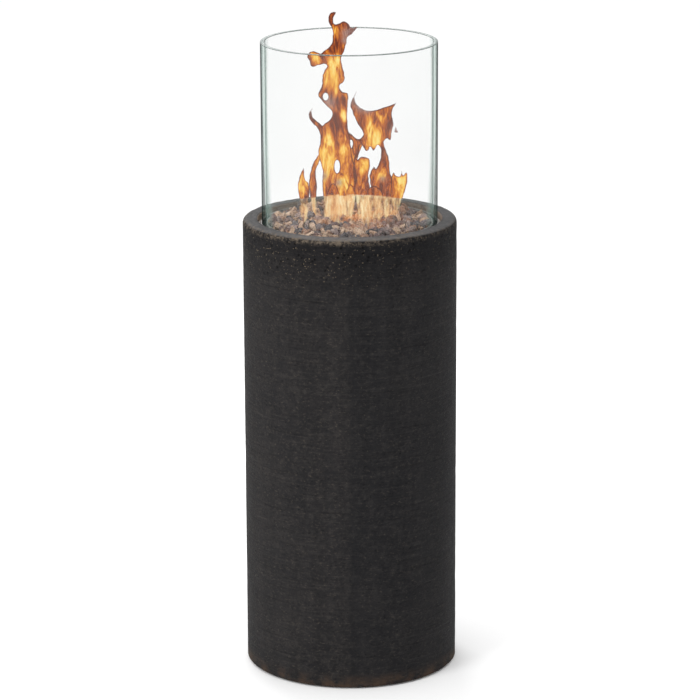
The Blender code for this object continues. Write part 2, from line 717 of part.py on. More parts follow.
def make_hinge(number, middle_z):
    """A lift-off hinge on the outside: the frame's leaf has the lower knuckle and the door's has the upper."""
    angle = hinge_angle()
    axis_x, axis_y = on_column(angle, hinge_axis_radius())
    low, high = middle_z - HINGE_HEIGHT / 2, middle_z + HINGE_HEIGHT / 2
    clear = HINGE_KNUCKLE_RADIUS + 2 * GAP
    pieces = []
    for side, leaf_name, knuckle in (
        (1, "frame_leaf", (low, middle_z - GAP / 2)),
        (-1, "door_leaf", (middle_z + GAP / 2, high)),
    ):
        leaf_angle = angle + side * math.degrees((clear + HINGE_LEAF / 2) / OUTER)
        inner_x, inner_y = on_column(leaf_angle, OUTER + 2 * GAP)
        spin = math.radians(leaf_angle)
        plate = ((-HINGE_LEAF / 2, 0, low), (HINGE_LEAF / 2, HINGE_SHEET, high))
        leaf = blocks(f"hinge_{number}_{leaf_name}", [plate], "painted_steel", (0, 0, spin), (inner_x, inner_y, 0))
        tab_ends = sorted((side * (HINGE_LEAF / 2 - 0.002), side * (HINGE_LEAF / 2 + clear)))
        tab = ((tab_ends[0], 0, knuckle[0]), (tab_ends[1], HINGE_SHEET, knuckle[1]))
        join(leaf, blocks(f"hinge_{number}_{leaf_name}_tab", [tab], None, (0, 0, spin), (inner_x, inner_y, 0)))
        barrel = [((axis_x, axis_y, knuckle[0]), (axis_x, axis_y, knuckle[1]))]
        join(leaf, rods(f"hinge_{number}_{leaf_name}_knuckle", barrel, HINGE_KNUCKLE_RADIUS, sides=12))
        bore = [((axis_x, axis_y, low - CUT_PAST), (axis_x, axis_y, high + CUT_PAST))]
        cut(leaf, rods(f"hinge_{number}_{leaf_name}_bore", bore, HINGE_PIN_RADIUS + SLIDE_PLAY, sides=12))
        pieces.append(leaf)
    head = high + GAP
    profile = [
        (0, low),
        (HINGE_PIN_RADIUS, low),
        (HINGE_PIN_RADIUS, head),
        (HINGE_KNUCKLE_RADIUS, head),
        (HINGE_KNUCKLE_RADIUS, head + 0.002),
        (0, head + 0.002),
    ]
    turned(f"hinge_{number}_pin", profile, "zinc", 12, at=(axis_x, axis_y, 0))
    return pieces[1]


def make_door():
    door = curved_slab("door_panel", OUTER - DOOR_DEPTH, OUTER, DOOR_HALF, DOOR_LOW, DOOR_HIGH, "painted_steel")
    hollow = curved_slab(
        "door_hollow_cut",
        OUTER - DOOR_DEPTH - CUT_PAST,
        OUTER - DOOR_SHEET,
        DOOR_HALF - DOOR_SHEET,
        DOOR_LOW + DOOR_SHEET,
        DOOR_HIGH - DOOR_SHEET,
    )
    cut(door, hollow)
    slots = []
    for i in range(DOOR_SLOTS):
        for middle in (
            DOOR_LOW + DOOR_SLOT_FROM_END + i * DOOR_SLOT_PITCH,
            DOOR_HIGH - DOOR_SLOT_FROM_END - i * DOOR_SLOT_PITCH,
        ):
            half = DOOR_SLOT_HEIGHT / 2
            slots.append(
                ((-DOOR_SLOT_LENGTH / 2, INNER, middle - half), (DOOR_SLOT_LENGTH / 2, OUTER + CUT_PAST, middle + half))
            )
    cut(door, blocks("door_slot_cut", slots))

    knob_x = DOOR_HALF - DOOR_KNOB_FROM_EDGE
    knob_angle = math.asin(knob_x / OUTER)
    profile = [
        (0, 0),
        (DOOR_KNOB_RADIUS * 0.55, 0),
        (DOOR_KNOB_RADIUS * 0.45, DOOR_KNOB_LENGTH * 0.4),
        (DOOR_KNOB_RADIUS, DOOR_KNOB_LENGTH * 0.65),
        (DOOR_KNOB_RADIUS, DOOR_KNOB_LENGTH * 0.85),
        (DOOR_KNOB_RADIUS * 0.7, DOOR_KNOB_LENGTH),
        (0, DOOR_KNOB_LENGTH),
    ]
    at_x, at_y = on_column(-math.degrees(knob_angle), OUTER + GAP)
    knob_turn = Euler((-math.pi / 2, 0, -knob_angle))
    knob = turned("door_knob", profile, "painted_steel", SMALL_SEGMENTS, knob_turn, (at_x, at_y, DOOR_MIDDLE_Z))

    leaves = [
        make_hinge(1, DOOR_LOW + HINGE_FROM_END),
        make_hinge(2, DOOR_HIGH - HINGE_FROM_END),
    ]
    strike = make_catch()
    joint_axis("door_axis", (*on_column(hinge_angle(), hinge_axis_radius()), 0), door, knob, strike, *leaves)


def make_catch():
    """A magnet on the frame's free side, and the plate on the door that it holds."""
    low, high = DOOR_MIDDLE_Z - CATCH_HALF_HEIGHT, DOOR_MIDDLE_Z + CATCH_HALF_HEIGHT
    return_inside = DOOR_HALF - DOOR_SHEET - GAP
    return_end_y = math.sqrt((OUTER - DOOR_DEPTH) ** 2 - DOOR_HALF**2)
    strike_y = return_end_y - GAP - DOOR_SHEET
    magnet_y = strike_y - 2 * GAP
    frame_face = FRAME_INNER_HALF - GAP
    magnet = ((frame_face - CATCH_WIDTH, magnet_y - CATCH_DEPTH, low), (frame_face, magnet_y, high))
    blocks("catch_magnet", [magnet], "black_plastic")
    plate_left = frame_face - CATCH_WIDTH - 0.002
    plate_back = strike_y + DOOR_SHEET
    leg_inside = return_inside - DOOR_SHEET
    outline = [
        (plate_left, strike_y),
        (return_inside, strike_y),
        (return_inside, strike_y + STRIKE_LEG),
        (leg_inside, strike_y + STRIKE_LEG),
        (leg_inside, plate_back),
        (plate_left, plate_back),
    ]
    return prism("catch_strike", outline, low, high, "zinc")


# ---- burner ------------------------------------------------------------------------------------------------


def standoff_places():
    return list(around(STANDOFFS, STANDOFF_CIRCLE, STANDOFFS_FROM))


def probe_places():
    y = BRACKET_Y + BRACKET_SHELF / 2
    return (-PROBE_SPREAD, y), (PROBE_SPREAD, y)


def make_tray():
    bore = STEM_RADIUS + SLIDE_PLAY
    lip_top = TRAY_TOP + TRAY_LIP_HEIGHT
    lip_inside = TRAY_OUTER - TRAY_SHEET
    profile = [
        (bore, TRAY_UNDERSIDE),
        (BOWL_OUTER, TRAY_UNDERSIDE),
        (BOWL_OUTER, TRAY_FLANGE_Z),
        (TRAY_OUTER, TRAY_FLANGE_Z),
        (TRAY_OUTER, lip_top),
        (lip_inside, lip_top),
        (lip_inside, TRAY_TOP),
        (BOWL_INNER, TRAY_TOP),
        (BOWL_INNER, TRAY_FLOOR),
        (bore, TRAY_FLOOR),
    ]
    tray = turned("burner_tray", profile, "stainless")
    below, above = TRAY_UNDERSIDE - CUT_PAST, TRAY_FLOOR + CUT_PAST
    drain_circle = (RING_RADIUS + RING_TUBE_RADIUS + BOWL_INNER) / 2
    drains = [((x, y, below), (x, y, above)) for x, y in around(TRAY_DRAINS, drain_circle, TRAY_DRAINS_FROM)]
    cut(tray, rods("tray_drain_cut", drains, TRAY_DRAIN_RADIUS, sides=8))
    stud_low = TRAY_UNDERSIDE - STUD_LENGTH
    for i, (x, y) in enumerate(standoff_places(), 1):
        stud = [((x, y, stud_low), (x, y, TRAY_UNDERSIDE + TRAY_SHEET / 2))]
        join(tray, rods(f"tray_stud_{i}_to_join", stud, STUD_RADIUS, sides=8))
    probes = [((x, y, below), (x, y, above)) for x, y in probe_places()]
    cut(tray, rods("tray_probe_cut", probes, PROBE_HOLE_RADIUS, sides=8))


def ring_tube(name, radius, finish=None):
    """The burner's ring, of this tube radius."""
    section = list(arc(RING_RADIUS, RING_Z, radius, 0, 360, 8))[:-1]
    return turned(name, section, finish, 2 * RING_PORTS)


def burner_arm(radius):
    x = RING_RADIUS * math.cos(ARM_ANGLE)
    y = RING_RADIUS * math.sin(ARM_ANGLE)
    return rods(f"burner_arm_{radius}", [((-x, -y, RING_Z), (x, y, RING_Z))], radius, sides=12)


def make_burner():
    """A hollow ring on two arms, fed through its middle."""
    burner = ring_tube("ring_burner", RING_TUBE_RADIUS, "stainless")
    join(burner, burner_arm(ARM_RADIUS))
    flange_low = TRAY_FLOOR + GAP
    flange_high = flange_low + STEM_FLANGE_THICKNESS
    stem_top = RING_Z + STEM_RADIUS
    stem = [
        (0, STEM_BOTTOM),
        (STEM_RADIUS, STEM_BOTTOM),
        (STEM_RADIUS, flange_low),
        (STEM_FLANGE_RADIUS, flange_low),
        (STEM_FLANGE_RADIUS, flange_high),
        (STEM_RADIUS, flange_high),
        (STEM_RADIUS, stem_top),
        (0, stem_top),
    ]
    join(burner, turned("burner_stem_to_join", stem, None, SMALL_SEGMENTS))
    cut(burner, ring_tube("burner_ring_hollow_cut", RING_TUBE_RADIUS - RING_TUBE_WALL))
    cut(burner, burner_arm(ARM_RADIUS - RING_TUBE_WALL))
    bore = [((0, 0, STEM_BOTTOM - CUT_PAST), (0, 0, stem_top - RING_TUBE_WALL))]
    cut(burner, rods("burner_bore_cut", bore, STEM_RADIUS - RING_TUBE_WALL))
    slope = math.radians(67.5)  # ports lean out, through the middle of one of the tube's faces
    out, up = 2 * RING_TUBE_RADIUS * math.cos(slope), 2 * RING_TUBE_RADIUS * math.sin(slope)
    ports = []
    for x, y in around(RING_PORTS, 1.0, math.pi / RING_PORTS / 2):
        end = RING_RADIUS + out
        ports.append(((x * RING_RADIUS, y * RING_RADIUS, RING_Z), (x * end, y * end, RING_Z + up)))
    cut(burner, rods("burner_port_cut", ports, RING_PORT_RADIUS, sides=6))

    nut_z = TRAY_UNDERSIDE - GAP - LOCK_NUT_HEIGHT
    nut("burner_lock_nut", LOCK_NUT_FLATS, LOCK_NUT_HEIGHT, STEM_RADIUS + SLIDE_PLAY, "zinc", at=(0, 0, nut_z))


def make_mixer():
    socket = STEM_RADIUS + SLIDE_PLAY
    socket_floor = STEM_BOTTOM - GAP
    throat_low = socket_floor - 0.014
    chamber_high = throat_low - 0.010
    floor = MIXER_BOTTOM + MIXER_WALL
    nozzle_hole = INJECTOR_TIP_RADIUS + SLIDE_PLAY
    profile = [
        (nozzle_hole, MIXER_BOTTOM),
        (MIXER_CHAMBER_RADIUS + MIXER_WALL, MIXER_BOTTOM),
        (MIXER_CHAMBER_RADIUS + MIXER_WALL, chamber_high),
        (MIXER_THROAT_RADIUS + MIXER_WALL, throat_low),
        (socket + MIXER_WALL, socket_floor - 0.004),
        (socket + MIXER_WALL, MIXER_TOP),
        (socket, MIXER_TOP),
        (socket, socket_floor),
        (MIXER_THROAT_RADIUS, socket_floor - 0.004),
        (MIXER_THROAT_RADIUS, throat_low),
        (MIXER_CHAMBER_RADIUS, chamber_high),
        (MIXER_CHAMBER_RADIUS, floor),
        (nozzle_hole, floor),
    ]
    mixer = turned("air_mixer", profile, "brass", SMALL_SEGMENTS)
    middle = (floor + chamber_high) / 2
    reach = MIXER_CHAMBER_RADIUS + MIXER_WALL + CUT_PAST
    crossing = [((-reach, 0, middle), (reach, 0, middle)), ((0, -reach, middle), (0, reach, middle))]
    for i, way in enumerate(crossing, 1):
        cut(mixer, rods(f"air_hole_cut_{i}", [way], AIR_HOLE_RADIUS, sides=12))

    tip = MIXER_BOTTOM + 0.012
    injector = [
        (INJECTOR_ORIFICE_RADIUS, INJECTOR_BOTTOM),
        (INJECTOR_TAIL_RADIUS, INJECTOR_BOTTOM),
        (INJECTOR_TAIL_RADIUS, INJECTOR_SEAT - 0.013),
        (INJECTOR_BODY_RADIUS, INJECTOR_SEAT - 0.013),
        (INJECTOR_BODY_RADIUS, INJECTOR_SEAT),
        (INJECTOR_TIP_RADIUS, INJECTOR_SEAT),
        (INJECTOR_TIP_RADIUS, tip - 0.003),
        (0.0025, tip),
        (INJECTOR_ORIFICE_RADIUS, tip),
    ]
    turned("injector", injector, "brass", 12)


def make_probes():
    """Thermocouple and spark electrode on a bracket inside the ring, with their leads down to the controls."""
    low = TRAY_FLOOR + GAP
    shelf_top = low + BRACKET_HEIGHT
    foot_y = BRACKET_Y - 0.010
    (thermo_x, y), (spark_x, _) = probe_places()
    outline = [
        (foot_y, low),
        (BRACKET_Y + BRACKET_SHEET, low),
        (BRACKET_Y + BRACKET_SHEET, shelf_top - BRACKET_SHEET),
        (BRACKET_Y + BRACKET_SHELF, shelf_top - BRACKET_SHEET),
        (BRACKET_Y + BRACKET_SHELF, shelf_top),
        (BRACKET_Y, shelf_top),
        (BRACKET_Y, low + BRACKET_SHEET),
        (foot_y, low + BRACKET_SHEET),
    ]
    bracket = prism("probe_bracket", outline, -BRACKET_HALF_WIDTH, BRACKET_HALF_WIDTH, "stainless", "X")
    for x, radius, helper in (
        (thermo_x, THERMOCOUPLE_RADIUS, "bracket_thermo_cut"),
        (spark_x, INSULATOR_RADIUS, "bracket_spark_cut"),
    ):
        hole = [((x, y, shelf_top - CUT_PAST), (x, y, shelf_top + CUT_PAST))]
        cut(bracket, rods(helper, hole, radius + SLIDE_PLAY, sides=12))

    tip = TRAY_FLOOR + 0.034
    thermo_low = TRAY_FLOOR + 0.006
    rods("thermocouple", [((thermo_x, y, thermo_low), (thermo_x, y, tip))], THERMOCOUPLE_RADIUS, "stainless", 12)
    insulator_low, insulator_high = TRAY_FLOOR + 0.004, TRAY_FLOOR + 0.026
    insulator = rods(
        "electrode_insulator",
        [((spark_x, y, insulator_low), (spark_x, y, insulator_high))],
        INSULATOR_RADIUS,
        "ceramic",
        12,
    )
    electrode_low = TRAY_FLOOR + 0.002
    bore = [((spark_x, y, insulator_low - CUT_PAST), (spark_x, y, insulator_high + CUT_PAST))]
    cut(insulator, rods("insulator_bore_cut", bore, ELECTRODE_RADIUS + GAP, sides=8))
    rods("electrode", [((spark_x, y, electrode_low), (spark_x, y, tip))], ELECTRODE_RADIUS, "stainless", 8)

    port_y = VALVE_BODY_LOW_Y - PROBE_PORT_LENGTH - GAP
    port_x, port_z = KNOB_X + VALVE_WIDTH / 4, PANEL_Z + VALVE_HEIGHT / 4
    down, back = (0, 0, -1), (0, 1, 0)
    pipe("thermocouple_lead", (thermo_x, y, thermo_low - GAP), down, (port_x, port_y, port_z), back, 0.016, 0.045,
         LEAD_RADIUS, "copper")
    wire_end = (IGNITER_X, PANEL_FACE_Y + GAP - IGNITER_LENGTH - GAP, PANEL_Z)
    pipe("ignition_wire", (spark_x, y, electrode_low - GAP), down, wire_end, back, 0.014, 0.045,
         LEAD_RADIUS, "rubber")


def make_rocks():
    """The heap of lava rocks as one plain solid, hollow over the burner."""
    space = RING_RADIUS + RING_TUBE_RADIUS + BURNER_SPACE_MARGIN
    low = TRAY_FLOOR + GAP
    ceiling = TRAY_FLOOR + BURNER_SPACE_HEIGHT
    bowl = BOWL_INNER - GAP
    brim = BOWL_INNER + ROCKS_OVER_FLANGE
    brim_z = TRAY_TOP + GAP
    top = COLUMN_HEIGHT - ROCKS_BELOW_RIM
    rings = 5
    profile = [(0, ceiling), (space, ceiling), (space, low), (bowl, low), (bowl, brim_z), (brim, brim_z)]
    profile += [(brim * (rings - i) / rings, top) for i in range(rings)]
    profile += [(0, top)]
    rocks = turned("lava_rocks", profile, "lava")
    bump_scale = 55
    for vertex in rocks.data.vertices:
        if vertex.co.z > top - GAP:
            rough = noise.noise(vertex.co * bump_scale)
            at_edge = vertex.co.xy.length > brim * 0.95
            vertex.co.z += ROCKS_UNEVEN * (rough - at_edge / 2)


# ---- heat shield -------------------------------------------------------------------------------------------


def make_shield():
    outside = INNER - SHIELD_PLAY
    high = SHIELD_Z + SHIELD_SHEET
    shield = turned("heat_shield", [(0, SHIELD_Z), (outside, SHIELD_Z), (outside, high), (0, high)], "zinc")
    below, above = SHIELD_Z - CUT_PAST, SHIELD_Z + CUT_PAST
    cut(shield, rods("shield_hose_cut", [((KNOB_X, INLET_Y, below), (KNOB_X, INLET_Y, above))], SHIELD_HOSE_HOLE))
    holes = [((x, y, below), (x, y, above)) for x, y in standoff_places()]
    cut(shield, rods("shield_screw_cut", holes, STUD_RADIUS + SLIDE_PLAY, sides=8))

    spacer_low, spacer_high = high + GAP, TRAY_UNDERSIDE - GAP
    bore = STUD_RADIUS + SLIDE_PLAY
    bore_depth = STUD_LENGTH + 2 * GAP
    spacer = [
        (0, spacer_low + bore_depth),
        (bore, spacer_low + bore_depth),
        (bore, spacer_low),
        (STANDOFF_RADIUS, spacer_low),
        (STANDOFF_RADIUS, spacer_high),
        (bore, spacer_high),
        (bore, spacer_high - bore_depth),
        (0, spacer_high - bore_depth),
    ]
    for i, (x, y) in enumerate(standoff_places(), 1):
        turned(f"shield_spacer_{i}", spacer, "zinc", 12, at=(x, y, 0))
        turn_down = (math.pi, 0, 0)
        make_screw(f"shield_screw_{i}", STUD_RADIUS, SHIELD_SHEET + STUD_LENGTH, "zinc", turn_down, (x, y, SHIELD_Z - GAP))


# ---- controls ----------------------------------------------------------------------------------------------


def make_panel():
    half, tall = PANEL_WIDTH / 2, PANEL_HEIGHT / 2
    panel = blocks(
        "control_panel",
        [((-half, PANEL_BACK_Y, PANEL_Z - tall), (half, PANEL_FACE_Y, PANEL_Z + tall))],
        "stainless",
    )
    near, far = PANEL_BACK_Y - CUT_PAST, PANEL_FACE_Y + CUT_PAST
    stem = [((KNOB_X, near, PANEL_Z), (KNOB_X, far, PANEL_Z))]
    cut(panel, rods("panel_stem_cut", stem, VALVE_STEM_RADIUS + 0.003))
    igniter = [((IGNITER_X, near, PANEL_Z), (IGNITER_X, far, PANEL_Z))]
    cut(panel, rods("panel_igniter_cut", igniter, IGNITER_RADIUS + SLIDE_PLAY))
    holes = [((x, near, z), (x, far, z)) for x, z in panel_screw_places()]
    cut(panel, rods("panel_hole_cut", holes, PANEL_SCREW_RADIUS + SLIDE_PLAY, sides=8))
    head_y = PANEL_FACE_Y + GAP
    length = head_y - (PANEL_SEAT_Y - PANEL_SCREW_LENGTH) - GAP
    for i, (x, z) in enumerate(panel_screw_places(), 1):
        make_screw(f"panel_screw_{i}", PANEL_SCREW_RADIUS, length, "zinc", FACING_BACK, (x, head_y, z))


def make_valve():
    half, tall = VALVE_WIDTH / 2, VALVE_HEIGHT / 2
    body = blocks(
        "valve_body",
        [((KNOB_X - half, VALVE_BODY_LOW_Y, PANEL_Z - tall), (KNOB_X + half, VALVE_BODY_HIGH_Y, PANEL_Z + tall))],
        "brass",
    )
    inside = 0.002  # how far a boss starts inside the body
    axis = (KNOB_X, PANEL_Z)
    boss = [((axis[0], VALVE_BODY_HIGH_Y - inside, axis[1]), (axis[0], VALVE_FACE_Y, axis[1]))]
    join(body, rods("valve_boss", boss, VALVE_BOSS_RADIUS))
    outlet_end = VALVE_BODY_LOW_Y - OUTLET_LENGTH
    outlet = [((axis[0], outlet_end, axis[1]), (axis[0], VALVE_BODY_LOW_Y + inside, axis[1]))]
    join(body, rods("valve_outlet", outlet, OUTLET_RADIUS, sides=12))
    port_x, port_z = KNOB_X + VALVE_WIDTH / 4, PANEL_Z + VALVE_HEIGHT / 4
    port_y = VALVE_BODY_LOW_Y - PROBE_PORT_LENGTH
    join(body, rods("valve_probe_port", [((port_x, port_y, port_z), (port_x, VALVE_BODY_LOW_Y + inside, port_z))],
                    PROBE_PORT_RADIUS, sides=8))
    inlet_end = PANEL_Z - tall - INLET_LENGTH
    join(body, rods("valve_inlet", [((axis[0], INLET_Y, inlet_end), (axis[0], INLET_Y, PANEL_Z - tall + inside))],
                    INLET_RADIUS, sides=12))

    stem_back = KNOB_BACK_Y + KNOB_LENGTH * 0.8 - VALVE_STEM_LENGTH
    plunger_high = stem_back - GAP
    plunger_low = plunger_high - PLUNGER_LENGTH
    seat = plunger_low - KNOB_TRAVEL - 0.001
    cut(body, rods("valve_stem_cut", [((axis[0], plunger_low, axis[1]), (axis[0], VALVE_FACE_Y + CUT_PAST, axis[1]))],
                   VALVE_STEM_RADIUS + SLIDE_PLAY, sides=12))
    cut(body, rods("valve_plunger_cut", [((axis[0], seat, axis[1]), (axis[0], plunger_high + 0.001, axis[1]))],
                   PLUNGER_RADIUS + SLIDE_PLAY, sides=12))
    plunger = rods("valve_plunger", [((axis[0], plunger_low, axis[1]), (axis[0], plunger_high, axis[1]))],
                   PLUNGER_RADIUS, "brass", 12)
    stem_front = stem_back + VALVE_STEM_LENGTH
    stem = rods("valve_stem", [((axis[0], stem_back, axis[1]), (axis[0], stem_front, axis[1]))],
                VALVE_STEM_RADIUS, "brass", 12)
    knob = make_knob(stem_front)
    joint_axis("knob_axis", (axis[0], KNOB_BACK_Y, axis[1]), plunger, stem, knob)

    nut_turn = (-math.pi / 2, 0, 0)
    nut("tube_nut_valve", TUBE_NUT_FLATS, TUBE_NUT_LENGTH, TUBE_RADIUS + SLIDE_PLAY, "brass", nut_turn,
        (axis[0], outlet_end - GAP - TUBE_NUT_LENGTH, axis[1]))
    nut("tube_nut_injector", TUBE_NUT_FLATS, TUBE_NUT_LENGTH, TUBE_RADIUS + SLIDE_PLAY, "brass",
        at=(0, 0, INJECTOR_BOTTOM - GAP - TUBE_NUT_LENGTH))
    pipe("supply_tube", (0, 0, INJECTOR_BOTTOM - GAP), (0, 0, -1), (axis[0], outlet_end - GAP, axis[1]), (0, 1, 0),
         TUBE_NUT_LENGTH + 0.001, 0.045, TUBE_RADIUS, "aluminium")

    hex_radius = INLET_HEX_FLATS / 2 / math.cos(math.pi / 6)
    hex_high = inlet_end - GAP
    hex_low = hex_high - INLET_HEX_LENGTH
    flare_low = hex_low - INLET_FLARE_LENGTH
    flare = [
        (0.003, flare_low),
        (INLET_RADIUS - 0.003, flare_low),
        (INLET_RADIUS, flare_low + 0.003),
        (INLET_RADIUS, hex_low),
        (hex_radius, hex_low),
        (hex_radius, hex_high),
        (0.003, hex_high),
    ]
    turned("gas_inlet", flare, "brass", 12, at=(axis[0], INLET_Y, 0))

    bezel_inside = KNOB_RADIUS + 0.002
    low, high = 0, BEZEL_THICKNESS
    bezel = [
        (bezel_inside, low),
        (bezel_inside + BEZEL_WIDTH, low),
        (bezel_inside + BEZEL_WIDTH, high - 0.0005),
        (bezel_inside + BEZEL_WIDTH / 2, high),
        (bezel_inside, high),
    ]
    turned("knob_bezel", bezel, "black_plastic", 24, FACING_BACK, (axis[0], PANEL_FACE_Y + GAP, axis[1]))


def make_knob(stem_front):
    """A fluted knob with a pointer, bored to sit on the valve's stem."""
    flutes, grip = 18, KNOB_LENGTH
    profile = [
        (0, 0),
        (KNOB_RADIUS, 0),
        (KNOB_RADIUS, 0.004),
        (KNOB_RADIUS - 0.002, 0.005),
        (KNOB_RADIUS - 0.003, grip - 0.002),
        (KNOB_RADIUS - 0.005, grip),
        (0, grip),
    ]
    at = (KNOB_X, KNOB_BACK_Y, PANEL_Z)
    knob = turned("control_knob", profile, "black_plastic", 2 * flutes, FACING_BACK, at)
    for vertex in knob.data.vertices:
        angle = math.atan2(vertex.co.y, vertex.co.x)
        if vertex.co.z > 0.0045 and vertex.co.xy.length > 0.001 and math.cos(flutes * angle) < 0:
            vertex.co.x *= 0.95
            vertex.co.y *= 0.95
    pointer = ((-0.0015, 0.004, grip - 0.001), (0.0015, KNOB_RADIUS - 0.006, grip + KNOB_POINTER))
    join(knob, blocks("knob_pointer", [pointer], None, FACING_BACK, at))
    bore = [((KNOB_X, KNOB_BACK_Y - CUT_PAST, PANEL_Z), (KNOB_X, stem_front + GAP, PANEL_Z))]
    return cut(knob, rods("knob_bore_cut", bore, VALVE_STEM_RADIUS + GAP, sides=12))


def make_igniter():
    """A tube through the panel that holds the battery, a nut behind it, and the push button."""
    face = PANEL_FACE_Y + GAP
    at = (IGNITER_X, face, PANEL_Z)
    bore = IGNITER_RADIUS - IGNITER_WALL
    back = -IGNITER_LENGTH
    housing = [
        (0, back),
        (IGNITER_RADIUS, back),
        (IGNITER_RADIUS, 0),
        (IGNITER_FLANGE_RADIUS, 0),
        (IGNITER_FLANGE_RADIUS, IGNITER_FLANGE_THICKNESS),
        (bore, IGNITER_FLANGE_THICKNESS),
        (bore, back + IGNITER_WALL),
        (0, back + IGNITER_WALL),
    ]
    turned("igniter_housing", housing, "black_plastic", SMALL_SEGMENTS, FACING_BACK, at)
    nut("igniter_nut", IGNITER_NUT_FLATS, IGNITER_NUT_LENGTH, IGNITER_RADIUS + SLIDE_PLAY, "black_plastic", FACING_BACK,
        (IGNITER_X, PANEL_BACK_Y - GAP - IGNITER_NUT_LENGTH, PANEL_Z))
    battery_back = back + IGNITER_WALL + GAP
    battery_front = battery_back + BATTERY_LENGTH
    battery = [
        (0, battery_back),
        (BATTERY_RADIUS, battery_back),
        (BATTERY_RADIUS, battery_front - 0.001),
        (0.0019, battery_front - 0.001),
        (0.0019, battery_front),
        (0, battery_front),
    ]
    turned("igniter_battery", battery, "zinc", 12, FACING_BACK, at)
    shank = bore - SLIDE_PLAY
    head = IGNITER_FLANGE_THICKNESS + GAP + BUTTON_TRAVEL
    button = [
        (0, battery_front + GAP + BUTTON_TRAVEL),
        (shank, battery_front + GAP + BUTTON_TRAVEL),
        (shank, head),
        (BUTTON_RADIUS, head),
        (BUTTON_RADIUS, head + BUTTON_LENGTH - 0.001),
        (BUTTON_RADIUS - 0.001, head + BUTTON_LENGTH),
        (0, head + BUTTON_LENGTH),
    ]
    cap = turned("igniter_button", button, "black_plastic", SMALL_SEGMENTS, FACING_BACK, at)
    joint_axis("button_axis", at, cap)


# ---- glass -------------------------------------------------------------------------------------------------


def make_glass():
    edge = GLASS_EDGE_CHAMFER
    glass = turned(
        "glass_cylinder",
        [
            (GLASS_INNER, GLASS_BOTTOM),
            (GLASS_OUTER, GLASS_BOTTOM),
            (GLASS_OUTER, GLASS_TOP - edge),
            (GLASS_OUTER - edge, GLASS_TOP),
            (GLASS_INNER + edge, GLASS_TOP),
            (GLASS_INNER, GLASS_TOP - edge),
        ],
        "glass",
    )
    outside = GLASS_OUTER + GAP + GASKET_WALL
    inside = GLASS_INNER - GAP - GASKET_WALL
    high = GASKET_BOTTOM + GASKET_HEIGHT
    gasket = turned(
        "glass_gasket",
        [
            (inside, GASKET_BOTTOM),
            (outside, GASKET_BOTTOM),
            (outside, high),
            (GLASS_OUTER + GAP, high),
            (GLASS_OUTER + GAP, GASKET_BOTTOM + GASKET_WALL),
            (GLASS_INNER - GAP, GASKET_BOTTOM + GASKET_WALL),
            (GLASS_INNER - GAP, high),
            (inside, high),
        ],
        "rubber",
    )
    joint_axis("glass_axis", (0, 0, GASKET_BOTTOM), glass, gasket)


clear_scene()
FINISHES = make_finishes()
make_column()
make_feet()
make_floor_plate()
make_tank_ring()
make_door_frame()
make_door()
make_tray()
make_burner()
make_mixer()
make_probes()
make_rocks()
make_shield()
make_panel()
make_valve()
make_igniter()
make_glass()
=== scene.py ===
"""Gas fire column: cast concrete, glass guard, lava rocks and flames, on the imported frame. Metres, +Z up."""

import json
import math
import random

import bmesh
import bpy
import numpy as np
from mathutils import Euler, Matrix, Vector, geometry, noise


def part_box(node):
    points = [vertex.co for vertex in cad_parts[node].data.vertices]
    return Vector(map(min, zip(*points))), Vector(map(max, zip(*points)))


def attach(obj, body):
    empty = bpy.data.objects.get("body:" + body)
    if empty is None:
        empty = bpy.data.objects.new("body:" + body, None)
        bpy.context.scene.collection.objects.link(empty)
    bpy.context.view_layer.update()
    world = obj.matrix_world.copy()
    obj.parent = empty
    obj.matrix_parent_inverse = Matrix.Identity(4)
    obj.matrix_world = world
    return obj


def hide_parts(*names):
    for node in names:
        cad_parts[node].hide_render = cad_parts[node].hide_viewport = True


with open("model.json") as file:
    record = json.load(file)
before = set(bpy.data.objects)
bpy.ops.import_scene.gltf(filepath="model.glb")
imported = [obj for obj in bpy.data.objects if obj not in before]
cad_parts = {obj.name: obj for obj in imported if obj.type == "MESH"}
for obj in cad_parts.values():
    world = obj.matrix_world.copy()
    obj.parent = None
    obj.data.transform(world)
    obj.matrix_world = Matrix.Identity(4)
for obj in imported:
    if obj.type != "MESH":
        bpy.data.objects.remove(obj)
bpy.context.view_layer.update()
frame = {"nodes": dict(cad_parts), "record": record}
nodes = frame["nodes"]
noise.seed_set(1)  # without it the noise vectors start from the clock, and differ on every run

# ---- sizes read from the frame ----

shell_low, shell_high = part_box("column_shell")
glass_low, glass_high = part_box("glass_cylinder")
rocks_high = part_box("lava_rocks")[1]
door_low, door_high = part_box("door_panel")
door_frame_low, door_frame_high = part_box("door_frame")
panel_low, panel_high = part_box("control_panel")
knob_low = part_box("control_knob")[0]

OUTER = shell_high[0]
FOOT_Z = shell_low[2]
RIM_Z = shell_high[2]
WALL = 0.020
INNER = OUTER - WALL
RIM_INNER = OUTER - 0.028
LEDGE_INNER = RIM_INNER - 0.020
LEDGE_Z = RIM_Z - 0.020
RIM_ROUND = 0.009
GLASS_OUTER = glass_high[0]
GLASS_WALL = 0.008
FIT = 0.0003


# ---- mesh tools ----


def piece_from(name, verts, faces, finish, smooth_below=40):
    """A named object from vertices and faces, shaded smooth except at its edges."""
    mesh = bpy.data.meshes.new(name)
    mesh.from_pydata([tuple(v) for v in verts], [], faces)
    mesh.update()
    return finish_piece(name, mesh, finish, smooth_below)


def finish_piece(name, mesh, finish, smooth_below=40):
    if finish is not None:
        mesh.materials.clear()
        mesh.materials.append(finish)
    mesh.shade_smooth()
    mesh.set_sharp_from_angle(angle=math.radians(smooth_below))
    obj = bpy.data.objects.new(name, mesh)
    bpy.context.scene.collection.objects.link(obj)
    return obj


